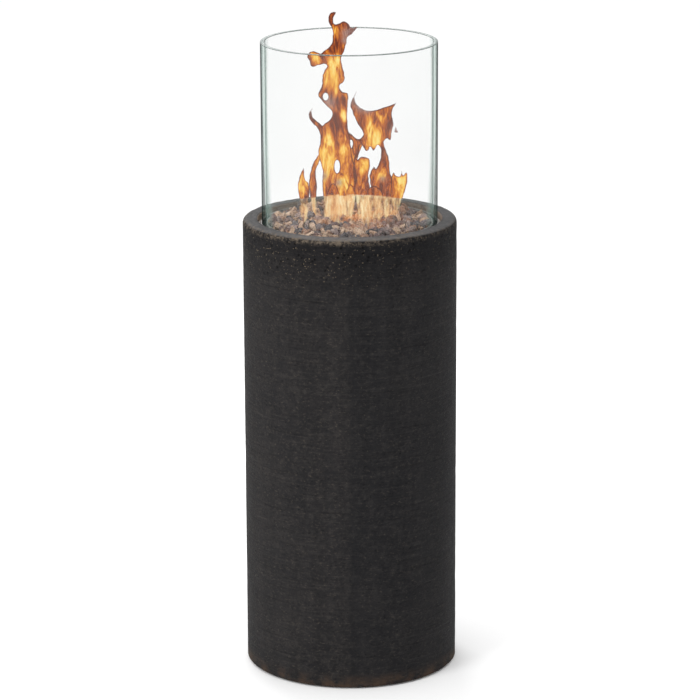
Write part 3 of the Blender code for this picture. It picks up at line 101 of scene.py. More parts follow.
def turned(profile, segments, start=0.0):
    """Vertices and faces of a closed (radius, height) outline turned once round Z."""
    rings = []
    for i in range(segments):
        angle = start + 2 * math.pi * i / segments
        rings += [(r * math.cos(angle), r * math.sin(angle), z) for r, z in profile]
    count = len(profile)
    faces = []
    for i in range(segments):
        here, there = i * count, (i + 1) % segments * count
        for j in range(count):
            k = (j + 1) % count
            faces.append((here + j, there + j, there + k, here + k))
    return rings, faces


def box_tool(low, high):
    """A box used to cut, left out of the scene."""
    bm = bmesh.new()
    size = Vector(high) - Vector(low)
    middle = (Vector(low) + Vector(high)) / 2
    bmesh.ops.create_cube(bm, size=1, matrix=Matrix.Translation(middle) @ Matrix.Diagonal((*size, 1)))
    mesh = bpy.data.meshes.new("tool")
    bm.to_mesh(mesh)
    bm.free()
    tool = bpy.data.objects.new("tool", mesh)
    bpy.context.scene.collection.objects.link(tool)
    return tool


def apply_modifiers(obj):
    """The object's mesh with its modifiers worked in, as a plain mesh."""
    depsgraph = bpy.context.evaluated_depsgraph_get()
    return bpy.data.meshes.new_from_object(obj.evaluated_get(depsgraph))


def cut_with(obj, tools, operation="DIFFERENCE"):
    """Cuts the tools out of obj, works the result into its mesh, and removes the tools."""
    for tool in tools:
        modifier = obj.modifiers.new("cut", "BOOLEAN")
        modifier.object = tool
        modifier.operation = operation
        modifier.solver = "EXACT"
    mesh = apply_modifiers(obj)
    obj.modifiers.clear()
    obj.data = mesh
    for tool in tools:
        bpy.data.objects.remove(tool)
    return obj


# ---- material tools ----


class Finish:
    """A material with one Principled shader, and short calls for the nodes that feed it."""

    def __init__(self, name, roughness=0.5, metallic=0.0):
        self.material = bpy.data.materials.new(name)
        self.material.use_nodes = True
        self.tree = self.material.node_tree
        self.shader = self.tree.nodes["Principled BSDF"]
        self.shader.inputs["Roughness"].default_value = roughness
        self.shader.inputs["Metallic"].default_value = metallic
        self.place = self.tree.nodes.new("ShaderNodeTexCoord").outputs["Object"]

    def set(self, **values):
        for name, value in values.items():
            self.shader.inputs[name.replace("_", " ").title().replace("Ior", "IOR")].default_value = value
        return self

    def link(self, source, target):
        self.tree.links.new(source, target)

    def feed(self, name, source):
        self.link(source, self.shader.inputs[name])

    def node(self, kind, **settings):
        node = self.tree.nodes.new(kind)
        for name, value in settings.items():
            setattr(node, name, value)
        return node

    def stretched(self, scale):
        node = self.node("ShaderNodeMapping")
        node.inputs["Scale"].default_value = scale
        self.link(self.place, node.inputs["Vector"])
        return node.outputs["Vector"]

    def noise(self, scale, detail=4.0, rough=0.55, where=None, distortion=0.0):
        node = self.node("ShaderNodeTexNoise")
        node.inputs["Scale"].default_value = scale
        node.inputs["Detail"].default_value = detail
        node.inputs["Roughness"].default_value = rough
        node.inputs["Distortion"].default_value = distortion
        self.link(where or self.place, node.inputs["Vector"])
        return node.outputs["Fac"]

    def cells(self, scale, output="Distance", where=None, feature="F1", randomness=1.0):
        node = self.node("ShaderNodeTexVoronoi", feature=feature)
        node.inputs["Scale"].default_value = scale
        node.inputs["Randomness"].default_value = randomness
        self.link(where or self.place, node.inputs["Vector"])
        return node.outputs[output]

    def math(self, operation, a, b=0.0, clamp=False):
        node = self.node("ShaderNodeMath", operation=operation, use_clamp=clamp)
        for socket, value in zip(node.inputs, (a, b)):
            if isinstance(value, (int, float)):
                socket.default_value = value
            else:
                self.link(value, socket)
        return node.outputs[0]

    def span(self, value, low, high, to_low=0.0, to_high=1.0):
        """Maps low..high smoothly to to_low..to_high."""
        node = self.node("ShaderNodeMapRange", interpolation_type="SMOOTHSTEP")
        self.link(value, node.inputs["Value"])
        for name, number in zip(("From Min", "From Max", "To Min", "To Max"), (low, high, to_low, to_high)):
            node.inputs[name].default_value = number
        return node.outputs["Result"]

    def ramp(self, value, stops):
        node = self.node("ShaderNodeValToRGB")
        elements = node.color_ramp.elements
        for i, (place, colour) in enumerate(stops):
            element = elements[i] if i < 2 else elements.new(place)
            element.position = place
            element.color = (*colour, 1.0)
        self.link(value, node.inputs["Fac"])
        return node.outputs["Color"]

    def mix(self, factor, a, b, blend="MIX"):
        node = self.node("ShaderNodeMix", data_type="RGBA", blend_type=blend)
        for socket, value in zip((node.inputs[0], node.inputs[6], node.inputs[7]), (factor, a, b)):
            if isinstance(value, (int, float)):
                socket.default_value = value
            elif isinstance(value, tuple):
                socket.default_value = (*value, 1.0)
            else:
                self.link(value, socket)
        return node.outputs[2]

    def attribute(self, name, output="Fac"):
        node = self.node("ShaderNodeAttribute", attribute_name=name)
        return node.outputs[output]

    def xyz(self):
        node = self.node("ShaderNodeSeparateXYZ")
        self.link(self.place, node.inputs["Vector"])
        return node.outputs

    def bump(self, height, depth, under=None):
        """Adds relief: depth is the height in metres that 0 to 1 stands for."""
        node = self.node("ShaderNodeBump")
        node.inputs["Distance"].default_value = depth
        self.link(height, node.inputs["Height"])
        if under is not None:
            self.link(under, node.inputs["Normal"])
        return node.outputs["Normal"]


# ---- finishes ----


def cast_concrete():
    """Dark stained concrete with trowel lines, pits and a worn top edge, with a painted lighter left half, a painted
    lit rim top and painted light on the inner rim wall.
    """
    f = Finish("cast_concrete", roughness=0.75)
    x, y, z = f.xyz()
    radius = f.math("SQRT", f.math("ADD", f.math("MULTIPLY", x, x), f.math("MULTIPLY", y, y)))
    near_top = f.span(z, RIM_Z - 0.13, RIM_Z - 0.01)
    painted_lit_rim_top = f.span(z, RIM_Z - 0.0045, RIM_Z - 0.0012)
    painted_lit_left_half = f.span(f.math("ADD", x, f.math("MULTIPLY", f.noise(5, 3), 0.02)), 0.014, 0.002)

    lines = f.noise(1.0, 7, 0.68, f.stretched((10, 10, 260)))
    bands = f.noise(1.0, 4, 0.6, f.stretched((34, 34, 0.9)))
    patches = f.noise(9, 6, 0.65)
    mottle = f.noise(75, 7, 0.72)
    grain = f.noise(420, 4, 0.75)

    base = f.ramp(patches, [(0.30, (0.0098, 0.0098, 0.0106)), (0.70, (0.0160, 0.0150, 0.0150))])
    base = f.mix(f.span(bands, 0.35, 0.68, 0.0, 0.5), base, (0.0082, 0.0080, 0.0084))
    base = f.mix(f.span(mottle, 0.42, 0.74, 0.0, 0.7), base, (0.0270, 0.0250, 0.0235))
    dimples = f.noise(170, 5, 0.7, f.stretched((1, 1, 1.7)))
    base = f.mix(f.span(dimples, 0.54, 0.70, 0.0, 0.7), base, (0.0440, 0.0375, 0.0310))
    base = f.mix(f.span(dimples, 0.44, 0.32, 0.0, 0.8), base, (0.0035, 0.0034, 0.0036))
    base = f.mix(f.span(lines, 0.52, 0.74, 0.0, 0.45), base, (0.0330, 0.0305, 0.0280))
    base = f.mix(f.span(lines, 0.46, 0.30, 0.0, 0.6), base, (0.0055, 0.0053, 0.0055))
    base = f.mix(f.span(grain, 0.60, 0.78, 0.0, 0.6), base, (0.0550, 0.0490, 0.0430))
    # Painted light: the left half of the wall is made lighter than the right, for light falling from the left.
    base = f.mix(1.0, base, f.mix(painted_lit_left_half, (1.22, 1.24, 1.30), (1.58, 1.56, 1.58)), "MULTIPLY")
    base = f.mix(near_top, base, f.mix(1.0, base, (0.62, 0.62, 0.64), "MULTIPLY"))

    pit_cells = f.cells(120)
    pit_pick = f.noise(42, 2, 0.5)
    pits = f.math("MULTIPLY", f.span(pit_cells, 0.34, 0.16), f.span(pit_pick, 0.50, 0.57))
    pits = f.math("MULTIPLY", pits, f.math("ADD", f.math("MULTIPLY", near_top, 0.85), 0.15), True)
    base = f.mix(f.math("MULTIPLY", pits, 0.85), base, (0.0025, 0.0024, 0.0024))

    speck_cells = f.cells(300)
    speck_pick = f.noise(90, 3, 0.6, f.stretched((1, 1, 1.8)))
    specks = f.math("MULTIPLY", f.span(speck_cells, 0.40, 0.22), f.span(speck_pick, 0.565, 0.615))
    amount = f.math("MULTIPLY", near_top, f.span(x, 0.10, -0.04, 0.35, 1.0))
    specks = f.math("MULTIPLY", specks, f.math("ADD", amount, 0.05), True)
    base = f.mix(f.math("MULTIPLY", specks, 0.9), base, (0.190, 0.150, 0.105))

    outermost = f.span(radius, OUTER - 0.0120, OUTER - 0.003)
    edge = f.math("MULTIPLY", outermost, f.span(z, RIM_Z - 0.015, RIM_Z - 0.004))
    worn = f.math("MULTIPLY", edge, f.span(f.noise(120, 7, 0.8), 0.44, 0.62))
    worn = f.math("MULTIPLY", worn, f.span(x, 0.16, -0.02, 0.35, 1.0))
    foot = f.math("MULTIPLY", f.span(z, FOOT_Z + 0.030, FOOT_Z + 0.001), f.span(f.noise(26, 6, 0.7), 0.36, 0.60))
    base = f.mix(f.math("MULTIPLY", foot, 0.75), base, (0.078, 0.050, 0.034))
    # Painted light: the rim top is the same concrete as the wall, painted several times lighter for the light from
    # above and its grazing reflection, and lighter still towards the front.
    top = f.ramp(f.noise(150, 6, 0.7), [(0.3, (0.060, 0.060, 0.063)), (0.7, (0.125, 0.121, 0.121))])
    top = f.mix(f.span(y, -0.10, -0.19), top, f.mix(1.0, top, (1.5, 1.45, 1.4), "MULTIPLY"))
    base = f.mix(f.math("MULTIPLY", painted_lit_rim_top, 0.95), base, top)
    base = f.mix(f.math("MULTIPLY", worn, 0.8), base, (0.190, 0.150, 0.112))
    # Painted light, not dust: the inner rim wall, which lies in shade, is painted a light warm brown as if lit.
    dusty = f.math("MULTIPLY", f.span(radius, RIM_INNER + 0.0015, RIM_INNER + 0.0002),
                   f.span(z, RIM_Z - 0.030, RIM_Z - 0.022))
    base = f.mix(f.math("MULTIPLY", dusty, 0.75), base, (0.34, 0.27, 0.22))
    f.feed("Base Color", base)
    f.feed("Roughness", f.span(mottle, 0.3, 0.7, 0.62, 0.85))

    relief = f.bump(grain, 0.0006)
    relief = f.bump(lines, 0.0018, relief)
    relief = f.bump(mottle, 0.0020, relief)
    relief = f.bump(dimples, 0.0022, relief)
    relief = f.bump(f.math("SUBTRACT", 1.0, pits), 0.0022, relief)
    f.feed("Normal", relief)
    f.set(specular_ior_level=0.06)
    return f.material


def lava_stone():
    """Each rock has its own tone, from grey to rust, and is full of small bubbles."""
    f = Finish("lava_stone", roughness=0.9)
    x, y, z = f.xyz()
    tone = f.attribute("tone")
    colour = f.ramp(
        tone,
        [
            (0.0, (0.105, 0.092, 0.100)),
            (0.18, (0.270, 0.238, 0.240)),
            (0.34, (0.225, 0.140, 0.125)),
            (0.50, (0.450, 0.350, 0.315)),
            (0.66, (0.430, 0.250, 0.180)),
            (0.82, (0.600, 0.410, 0.290)),
            (1.0, (0.740, 0.540, 0.400)),
        ],
    )
    bubbles = f.cells(330)
    rough = f.noise(230, 6, 0.75)
    dark = f.math("MULTIPLY", f.span(bubbles, 0.36, 0.14), 0.8)
    colour = f.mix(dark, colour, (0.030, 0.025, 0.026))
    colour = f.mix(f.span(rough, 0.52, 0.72, 0.0, 0.55), colour, (0.62, 0.52, 0.46))
    f.feed("Base Color", colour)
    # Painted light: rocks near and under the flames get an orange emission for the flames' light falling on them; the
    # rocks themselves give no light.
    side = f.math("SUBTRACT", x, 0.022)
    away = f.math("SQRT", f.math("ADD", f.math("MULTIPLY", side, side), f.math("MULTIPLY", y, y)))
    painted_flame_light_on_rocks = f.math("MULTIPLY", f.span(away, 0.105, 0.02), f.span(f.noise(34, 4, 0.6), 0.36, 0.62))
    painted_flame_light_on_rocks = f.math("MULTIPLY", painted_flame_light_on_rocks, f.span(z, RIM_Z - 0.026, RIM_Z - 0.008))
    f.feed("Emission Color", f.mix(f.span(rough, 0.4, 0.65), (0.75, 0.20, 0.045), (1.0, 0.50, 0.17)))
    f.feed("Emission Strength", f.math("MULTIPLY", painted_flame_light_on_rocks, 0.5))
    relief = f.bump(rough, 0.0020)
    relief = f.bump(bubbles, 0.0028, relief)
    f.feed("Normal", relief)
    f.set(specular_ior_level=0.2)
    return f.material


def glass_finish(name, stops, roughness=0.05, specular=0.0):
    """Glass that is clear when faced and shows its colour when seen edge on: (turned away, colour, cover)."""
    f = Finish(name, roughness=roughness)
    turned_away = f.node("ShaderNodeLayerWeight")
    turned_away.inputs["Blend"].default_value = 0.5
    facing = turned_away.outputs["Facing"]
    f.feed("Base Color", f.ramp(facing, [(place, colour) for place, colour, _ in stops]))
    cover = f.ramp(facing, [(place, (amount,) * 3) for place, _, amount in stops])
    smears = f.noise(14, 4, 0.6)
    f.feed("Alpha", f.math("MULTIPLY", cover, f.span(smears, 0.3, 0.7, 0.92, 1.08)))
    f.set(specular_ior_level=specular)
    return f.material


def flame_light():
    """Flames: brown at their edges, orange and yellow within, pale and thin where they leave the rocks."""
    f = Finish("flame_light", roughness=1.0)
    edge, heart, smoke, rise = (f.attribute(name) for name in ("edge", "core", "smoke", "rise"))
    streaks = f.noise(58, 6, 0.66, f.stretched((1.0, 0.5, 0.30)), 1.6)
    threads = f.noise(150, 4, 0.6, f.stretched((1.0, 0.5, 0.16)), 0.9)
    folds = f.noise(26, 4, 0.55, f.stretched((1.0, 0.5, 0.45)), 1.8)
    heat = f.math("ADD", f.math("MULTIPLY", streaks, 0.62), f.math("MULTIPLY", threads, 0.30))
    heat = f.math("ADD", heat, f.math("MULTIPLY", folds, 0.28))
    heat = f.math("ADD", heat, f.math("MULTIPLY", heart, 0.18))
    heat = f.math("SUBTRACT", heat, f.span(edge, 0.0, 0.30, 0.16, 0.0))
    heat = f.math("ADD", 0.575, f.math("MULTIPLY", f.math("SUBTRACT", heat, 0.625), 1.75))
    colour = f.ramp(
        heat,
        [
            (0.40, (0.150, 0.042, 0.028)),
            (0.50, (0.330, 0.078, 0.030)),
            (0.60, (0.560, 0.150, 0.030)),
            (0.70, (0.800, 0.300, 0.045)),
            (0.80, (0.980, 0.560, 0.095)),
            (0.95, (1.000, 0.800, 0.270)),
        ],
    )
    mauve = f.mix(f.span(streaks, 0.35, 0.65), (0.20, 0.085, 0.065), (0.40, 0.25, 0.22))
    colour = f.mix(f.math("MULTIPLY", smoke, 0.85, True), colour, mauve)
    x, _, _ = f.xyz()
    low = f.span(f.math("ADD", rise, f.math("MULTIPLY", f.math("MULTIPLY", x, x), 6.0)), 0.400, 0.425, 1.0, 0.0)
    pale = f.ramp(
        f.math("ADD", f.math("MULTIPLY", streaks, 0.5), f.math("MULTIPLY", threads, 0.5)),
        [(0.40, (0.66, 0.25, 0.10)), (0.50, (0.92, 0.52, 0.22)), (0.60, (1.0, 0.84, 0.50))],
    )
    colour = f.mix(low, colour, pale)
    f.feed("Emission Color", colour)
    f.set(base_color=(0.0, 0.0, 0.0, 1.0), emission_strength=1.0, specular_ior_level=0.0)
    clear_of_smoke = f.math("SUBTRACT", 1.0, f.math("MULTIPLY", smoke, 0.25))
    cover = f.math("MULTIPLY", f.span(edge, 0.0, 0.16, 0.40, 0.96), clear_of_smoke)
    thin = f.math("MULTIPLY", f.span(threads, 0.40, 0.60, 0.12, 0.70), f.span(rise, -0.34, 0.12, 0.05, 1.0))
    thin = f.math("MULTIPLY", thin, f.span(edge, 0.0, 0.45, 0.0, 1.0))
    mixer = f.node("ShaderNodeMix", data_type="FLOAT")
    for socket, value in zip(mixer.inputs[0:1] + mixer.inputs[2:4], (low, cover, thin)):
        f.link(value, socket)
    f.feed("Alpha", mixer.outputs[0])
    return f.material


def metal(name, colour, worn, roughness, scratch=0.5, brushed=None):
    """Bare metal with a brushed or cast grain and duller patches."""
    f = Finish(name, roughness=roughness, metallic=1.0)
    grain = f.noise(1.0, 4, 0.6, f.stretched(brushed)) if brushed else f.noise(480, 4, 0.6)
    dull = f.noise(28, 5, 0.65)
    f.feed("Base Color", f.mix(f.span(dull, 0.4, 0.75, 0.0, 0.8), colour, worn))
    f.feed("Roughness", f.span(dull, 0.3, 0.75, roughness * 0.8, min(1.0, roughness * 1.6)))
    f.feed("Normal", f.bump(grain, 0.0002 * scratch))
    return f.material


def powder_coat():
    """Dark powder-coated steel: fine orange peel, a little dust."""
    f = Finish("powder_coat", roughness=0.5)
    peel = f.noise(700, 3, 0.6)
    dust = f.noise(18, 6, 0.7)
    dusty = f.span(dust, 0.45, 0.8, 0.0, 0.6)
    f.feed("Base Color", f.mix(dusty, (0.014, 0.012, 0.011), (0.035, 0.031, 0.027)))
    f.feed("Roughness", f.span(dust, 0.3, 0.7, 0.42, 0.6))
    f.feed("Normal", f.bump(peel, 0.0002))
    return f.material


def plain_finish(name, colour, other, roughness, grain_size, relief, specular=0.4):
    """Plastic, rubber or ceramic: two close tones and a fine grain."""
    f = Finish(name, roughness=roughness)
    f.feed("Base Color", f.mix(f.span(f.noise(35, 4, 0.6), 0.35, 0.7), colour, other))
    f.feed("Roughness", f.span(f.noise(90, 3), 0.3, 0.7, roughness * 0.85, min(1.0, roughness * 1.2)))
    f.feed("Normal", f.bump(f.noise(grain_size, 3, 0.6), relief))
    f.set(specular_ior_level=specular)
    return f.material


CONCRETE = cast_concrete()
LAVA = lava_stone()
GLASS = glass_finish(
    "clear_glass",
    [
        (0.0, (0.50, 0.56, 0.54), 0.034),
        (0.60, (0.48, 0.56, 0.53), 0.045),
        (0.66, (0.36, 0.49, 0.44), 0.30),
        (0.775, (0.30, 0.43, 0.38), 0.38),
        (0.805, (0.025, 0.040, 0.036), 0.62),
        (1.0, (0.020, 0.030, 0.028), 0.88),
    ],
)
GLASS_INSIDE = glass_finish(
    "clear_glass_inside",
    [
        (0.0, (0.50, 0.56, 0.54), 0.034),
        (0.76, (0.46, 0.54, 0.51), 0.045),
        (0.84, (0.05, 0.08, 0.07), 0.42),
        (1.0, (0.04, 0.06, 0.055), 0.66),
    ],
)
GROUND = {"roughness": 0.3, "specular": 0.25}
GLASS_TOP = glass_finish(
    "ground_glass_face", [(0.0, (0.20, 0.26, 0.24), 0.55), (1.0, (0.18, 0.24, 0.22), 0.62)], **GROUND
)
GLASS_LINE = glass_finish(
    "ground_glass_corner", [(0.0, (0.05, 0.07, 0.065), 0.9), (1.0, (0.05, 0.07, 0.06), 0.94)], **GROUND
)
FLAME = flame_light()
STAINLESS = metal("stainless", (0.50, 0.50, 0.49), (0.36, 0.34, 0.32), 0.32, 0.7, (3, 3, 900))
HOT_STAINLESS = metal("heat_tinted_stainless", (0.42, 0.36, 0.30), (0.24, 0.20, 0.22), 0.4, 0.7)
ZINC = metal("zinc_plate", (0.56, 0.57, 0.58), (0.40, 0.40, 0.39), 0.42, 1.0)
BRASS = metal("brass", (0.70, 0.50, 0.22), (0.46, 0.31, 0.13), 0.3, 0.6)
COPPER = metal("copper", (0.72, 0.36, 0.22), (0.42, 0.19, 0.11), 0.36, 0.6)
ALUMINIUM = metal("aluminium_tube", (0.72, 0.73, 0.74), (0.55, 0.55, 0.56), 0.35, 0.8)
POWDER_COAT = powder_coat()
PANEL_STEEL = metal("brushed_panel", (0.52, 0.52, 0.51), (0.42, 0.41, 0.40), 0.34, 0.6, (3, 3, 700))
BLACK_PLASTIC = plain_finish("black_plastic", (0.012,) * 3, (0.020,) * 3, 0.42, 900, 0.0002)
RUBBER = plain_finish("rubber", (0.010, 0.010, 0.010), (0.022, 0.021, 0.020), 0.8, 600, 0.0003, 0.25)
GREY_SILICONE = plain_finish("grey_silicone", (0.30, 0.29, 0.28), (0.38, 0.37, 0.355), 0.7, 500, 0.0003, 0.3)
CERAMIC = plain_finish("white_ceramic", (0.80, 0.78, 0.72), (0.66, 0.62, 0.55), 0.25, 300, 0.0001)

NODE_FINISHES = {
    "stainless": STAINLESS,
    "painted_steel": POWDER_COAT,
    "zinc": ZINC,
    "brass": BRASS,
    "copper": COPPER,
    "aluminium": ALUMINIUM,
    "black_plastic": BLACK_PLASTIC,
    "ceramic": CERAMIC,
    "rubber": RUBBER,
    "lava": LAVA,
    "glass": GLASS,
    "concrete": CONCRETE,
}

for part in frame["record"]["subparts"]:
    node = nodes[part["node"]]
    finish = NODE_FINISHES[part["material_slot"]]
    if part["node"] in ("burner_tray", "ring_burner", "probe_bracket", "thermocouple", "electrode"):
        finish = HOT_STAINLESS
    if part["node"] == "glass_gasket":
        finish = GREY_SILICONE
    for slot in node.material_slots:
        slot.material = finish


# ---- column ----


def make_column():
    """The casting: a dense outside wall with trowel waves, pits and a chipped rim, and plain inside walls."""
    segments = 400
    outer_rows = []
    z = FOOT_Z + 0.002
    while z < RIM_Z - RIM_ROUND - 0.001:
        outer_rows.append(z)
        z += 0.0018 if z > RIM_Z - 0.11 else 0.0065
    profile = [(OUTER - 0.050, FOOT_Z), (OUTER - 0.002, FOOT_Z), *((OUTER, z) for z in outer_rows)]
    for i in range(9):
        angle = math.pi / 2 * i / 8
        profile.append(
            (OUTER - RIM_ROUND + RIM_ROUND * math.cos(angle), RIM_Z - RIM_ROUND + RIM_ROUND * math.sin(angle))
        )
    for i in range(1, 6):
        profile.append((OUTER - RIM_ROUND - (OUTER - RIM_ROUND - RIM_INNER - 0.003) * i / 6, RIM_Z))
    profile += [
        (RIM_INNER + 0.003, RIM_Z),
        (RIM_INNER + 0.0009, RIM_Z - 0.0009),
        (RIM_INNER, RIM_Z - 0.003),
        (RIM_INNER, LEDGE_Z),
        (LEDGE_INNER, LEDGE_Z),
        (LEDGE_INNER, LEDGE_Z - 0.020),
        (INNER, LEDGE_Z - 0.048),
        (INNER, FOOT_Z + 0.024),
        (OUTER - 0.050, FOOT_Z + 0.024),
    ]
    verts, faces = turned(profile, segments)
    rough = random.Random(11)
    pits = [
        (rough.uniform(0, 2 * math.pi), RIM_Z - 0.012 - abs(rough.gauss(0, 0.042)), rough.uniform(0.0018, 0.0042))
        for _ in range(150)
    ]
    shaped = []
    for x, y, z in verts:
        r = math.hypot(x, y)
        angle = math.atan2(y, x)
        if r > RIM_INNER + 0.001 and z > FOOT_Z - 0.001:
            here = Vector((x, y, z))
            wave = noise.noise(here * 9) * 0.0005 + noise.noise(Vector((x * 14, y * 14, z * 60))) * 0.00035
            if r > OUTER - 0.012:
                dent = 0.0
                if z > RIM_Z - 0.13:
                    for pit_angle, pit_z, size in pits:
                        if abs(z - pit_z) < size:
                            across = (angle - pit_angle + math.pi) % (2 * math.pi) - math.pi
                            away = math.hypot(across * OUTER, z - pit_z) / size
                            if away < 1:
                                dent = max(dent, size * 0.35 * (1 - away * away))
                near_edge = max(0.0, 1 - abs(z - (RIM_Z - 0.004)) / 0.012)
                chip = max(0.0, noise.noise(here * 70) - 0.12) * 0.0035 * near_edge
                grow = min(wave, 0.0) * 1.2 - dent - chip
                scale = (r + grow) / r
                x, y = x * scale, y * scale
            if z > RIM_Z - 0.002:
                z += min(0.0, noise.noise(here * 55) * 0.0006) - max(0.0, noise.noise(here * 120) - 0.25) * 0.001
        shaped.append((x, y, z))
    column = piece_from("cast_column", shaped, faces, CONCRETE, 50)
    half_width = door_frame_high[0] + FIT
    panel_half = panel_high[0] + FIT
    pad_y = panel_low[1] - FIT - 0.022
    reach = math.sqrt((INNER + 0.01) ** 2 - pad_y**2)
    pad_low, pad_high = panel_low[2] - 0.014, panel_high[2] + 0.014
    outline = [(-reach, pad_y), (reach, pad_y)]
    steps = 24
    start = math.atan2(pad_y, reach)
    for i in range(1, steps):
        angle = start + (math.pi - 2 * start) * i / steps
        outline.append(((INNER + 0.01) * math.cos(angle), (INNER + 0.01) * math.sin(angle)))
    count = len(outline)
    pad_verts = [(x, y, pad_low) for x, y in outline] + [(x, y, pad_high) for x, y in outline]
    pad_faces = [tuple(reversed(range(count))), tuple(range(count, 2 * count))]
    pad_faces += [(i, (i + 1) % count, count + (i + 1) % count, count + i) for i in range(count)]
    pad = piece_from("pad", pad_verts, pad_faces, CONCRETE)
    cut_with(column, [pad], "UNION")
    seat = 0.013
    tools = [
        box_tool((-half_width, 0.01, door_frame_low[2] - FIT), (half_width, 0.3, door_frame_high[2] + FIT)),
        box_tool((-panel_half, panel_low[1] - FIT, panel_low[2] - FIT), (panel_half, 0.3, panel_high[2] + FIT)),
        box_tool((-panel_half + seat, 0.05, panel_low[2] + seat), (panel_half - seat, 0.3, panel_high[2] - seat)),
    ]
    cut_with(column, tools)
    finish_mesh = column.data
    finish_mesh.materials.clear()
    finish_mesh.materials.append(CONCRETE)
    finish_mesh.set_sharp_from_angle(angle=math.radians(50))
    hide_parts("column_shell")
    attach(column, "column")


# ---- glass ----


def make_glass():
    inner, low, high = GLASS_OUTER - GLASS_WALL, glass_low[2], glass_high[2]
    soft = 0.0012
    profile = [
        (inner, low + soft),
        (inner + soft, low),
        (GLASS_OUTER - soft, low),
        (GLASS_OUTER, low + soft),
        (GLASS_OUTER, high - soft),
        (GLASS_OUTER - soft * 0.3, high - soft * 0.3),
        (GLASS_OUTER - soft, high),
        (inner + soft, high),
        (inner + soft * 0.3, high - soft * 0.3),
        (inner, high - soft),
    ]
    verts, faces = turned(profile, 240)
    glass = piece_from("glass_guard", verts, faces, GLASS, 60)
    for finish in (GLASS_INSIDE, GLASS_TOP, GLASS_LINE):
        glass.data.materials.append(finish)
    for face in glass.data.polygons:
        outward = face.normal.x * face.center.x + face.normal.y * face.center.y
        flat = abs(face.normal.z)
        face.material_index = 2 if flat > 0.95 else 3 if flat > 0.1 else 0 if outward > 0 else 1
    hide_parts("glass_cylinder")
    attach(glass, "glass")


# ---- lava rocks ----


def rock_shape(seed):
    """One broken, angular rock about 1 unit across."""
    pick = random.Random(seed)
    bm = bmesh.new()
    bmesh.ops.create_icosphere(bm, subdivisions=2, radius=0.56)
    offset = Vector((seed * 3.1, seed * 1.7, seed * 5.3))
    planes = []
    for _ in range(10):
        way = Vector((pick.gauss(0, 1), pick.gauss(0, 1), pick.gauss(0, 1))).normalized()
        planes.append((way, pick.uniform(0.22, 0.42)))
    squash = Vector((pick.uniform(0.9, 1.3), pick.uniform(0.65, 1.0), pick.uniform(0.55, 0.85)))
    for v in bm.verts:
        for way, reach in planes:
            past = v.co.dot(way) - reach
            if past > 0:
                v.co -= way * past
        v.co += v.co.normalized() * (noise.noise(v.co * 3 + offset) * 0.13 + noise.noise(v.co * 8 + offset) * 0.10)
        v.co = Vector((v.co.x * squash.x, v.co.y * squash.y, v.co.z * squash.z))
    mesh = bpy.data.meshes.new(f"rock_shape_{seed}")
    bm.to_mesh(mesh)
    bm.free()
    return mesh


def rock_heap_tree(shapes):
    """Geometry Nodes: rocks of several shapes strewn over a bed, each with its own size, turn and tone."""
    tree = bpy.data.node_groups.new("rock_heap", "GeometryNodeTree")
    for name, kind, default in (
        ("Bed", "NodeSocketGeometry", None),
        ("Spacing", "NodeSocketFloat", 0.011),
        ("Smallest", "NodeSocketFloat", 0.014),
        ("Largest", "NodeSocketFloat", 0.026),
        ("Seed", "NodeSocketInt", 4),
        ("Shapes", "NodeSocketCollection", None),
        ("Finish", "NodeSocketMaterial", None),
    ):
        socket = tree.interface.new_socket(name, in_out="INPUT", socket_type=kind)
        if default is not None:
            socket.default_value = default
    tree.interface.new_socket("Heap", in_out="OUTPUT", socket_type="NodeSocketGeometry")
    new = tree.nodes.new
    link = tree.links.new
    given, result = new("NodeGroupInput"), new("NodeGroupOutput")
    strew = new("GeometryNodeDistributePointsOnFaces")
    strew.distribute_method = "POISSON"
    strew.inputs["Density Max"].default_value = 16000
    link(given.outputs["Bed"], strew.inputs["Mesh"])
    link(given.outputs["Spacing"], strew.inputs["Distance Min"])
    link(given.outputs["Seed"], strew.inputs["Seed"])
    turn = new("FunctionNodeRandomValue")
    turn.data_type = "FLOAT_VECTOR"
    turn.inputs[1].default_value = (2 * math.pi,) * 3
    link(given.outputs["Seed"], turn.inputs["Seed"])
    size = new("FunctionNodeRandomValue")
    size.data_type = "FLOAT"
    link(given.outputs["Smallest"], size.inputs[2])
    link(given.outputs["Largest"], size.inputs[3])
    link(given.outputs["Seed"], size.inputs["Seed"])
    shapes_in = new("GeometryNodeCollectionInfo")
    shapes_in.inputs["Separate Children"].default_value = True
    shapes_in.inputs["Reset Children"].default_value = True
    link(given.outputs["Shapes"], shapes_in.inputs["Collection"])
    place = new("GeometryNodeInstanceOnPoints")
    place.inputs["Pick Instance"].default_value = True
    link(strew.outputs["Points"], place.inputs["Points"])
    link(shapes_in.outputs["Instances"], place.inputs["Instance"])
    link(turn.outputs[0], place.inputs["Rotation"])
    link(size.outputs[1], place.inputs["Scale"])
    tone = new("FunctionNodeRandomValue")
    tone.data_type = "FLOAT"
    tone.inputs["Seed"].default_value = 31
    store = new("GeometryNodeStoreNamedAttribute")
    store.data_type = "FLOAT"
    store.domain = "INSTANCE"
    store.inputs["Name"].default_value = "tone"
    link(place.outputs["Instances"], store.inputs["Geometry"])
    link(tone.outputs[1], store.inputs["Value"])
    real = new("GeometryNodeRealizeInstances")
    link(store.outputs["Geometry"], real.inputs["Geometry"])
    paint = new("GeometryNodeSetMaterial")
    link(real.outputs["Geometry"], paint.inputs["Geometry"])
    link(given.outputs["Finish"], paint.inputs["Material"])
    link(paint.outputs["Geometry"], result.inputs["Heap"])
    return tree


def set_input(modifier, name, value):
    for item in modifier.node_group.interface.items_tree:
        if item.in_out == "INPUT" and item.name == name:
            modifier[item.identifier] = value


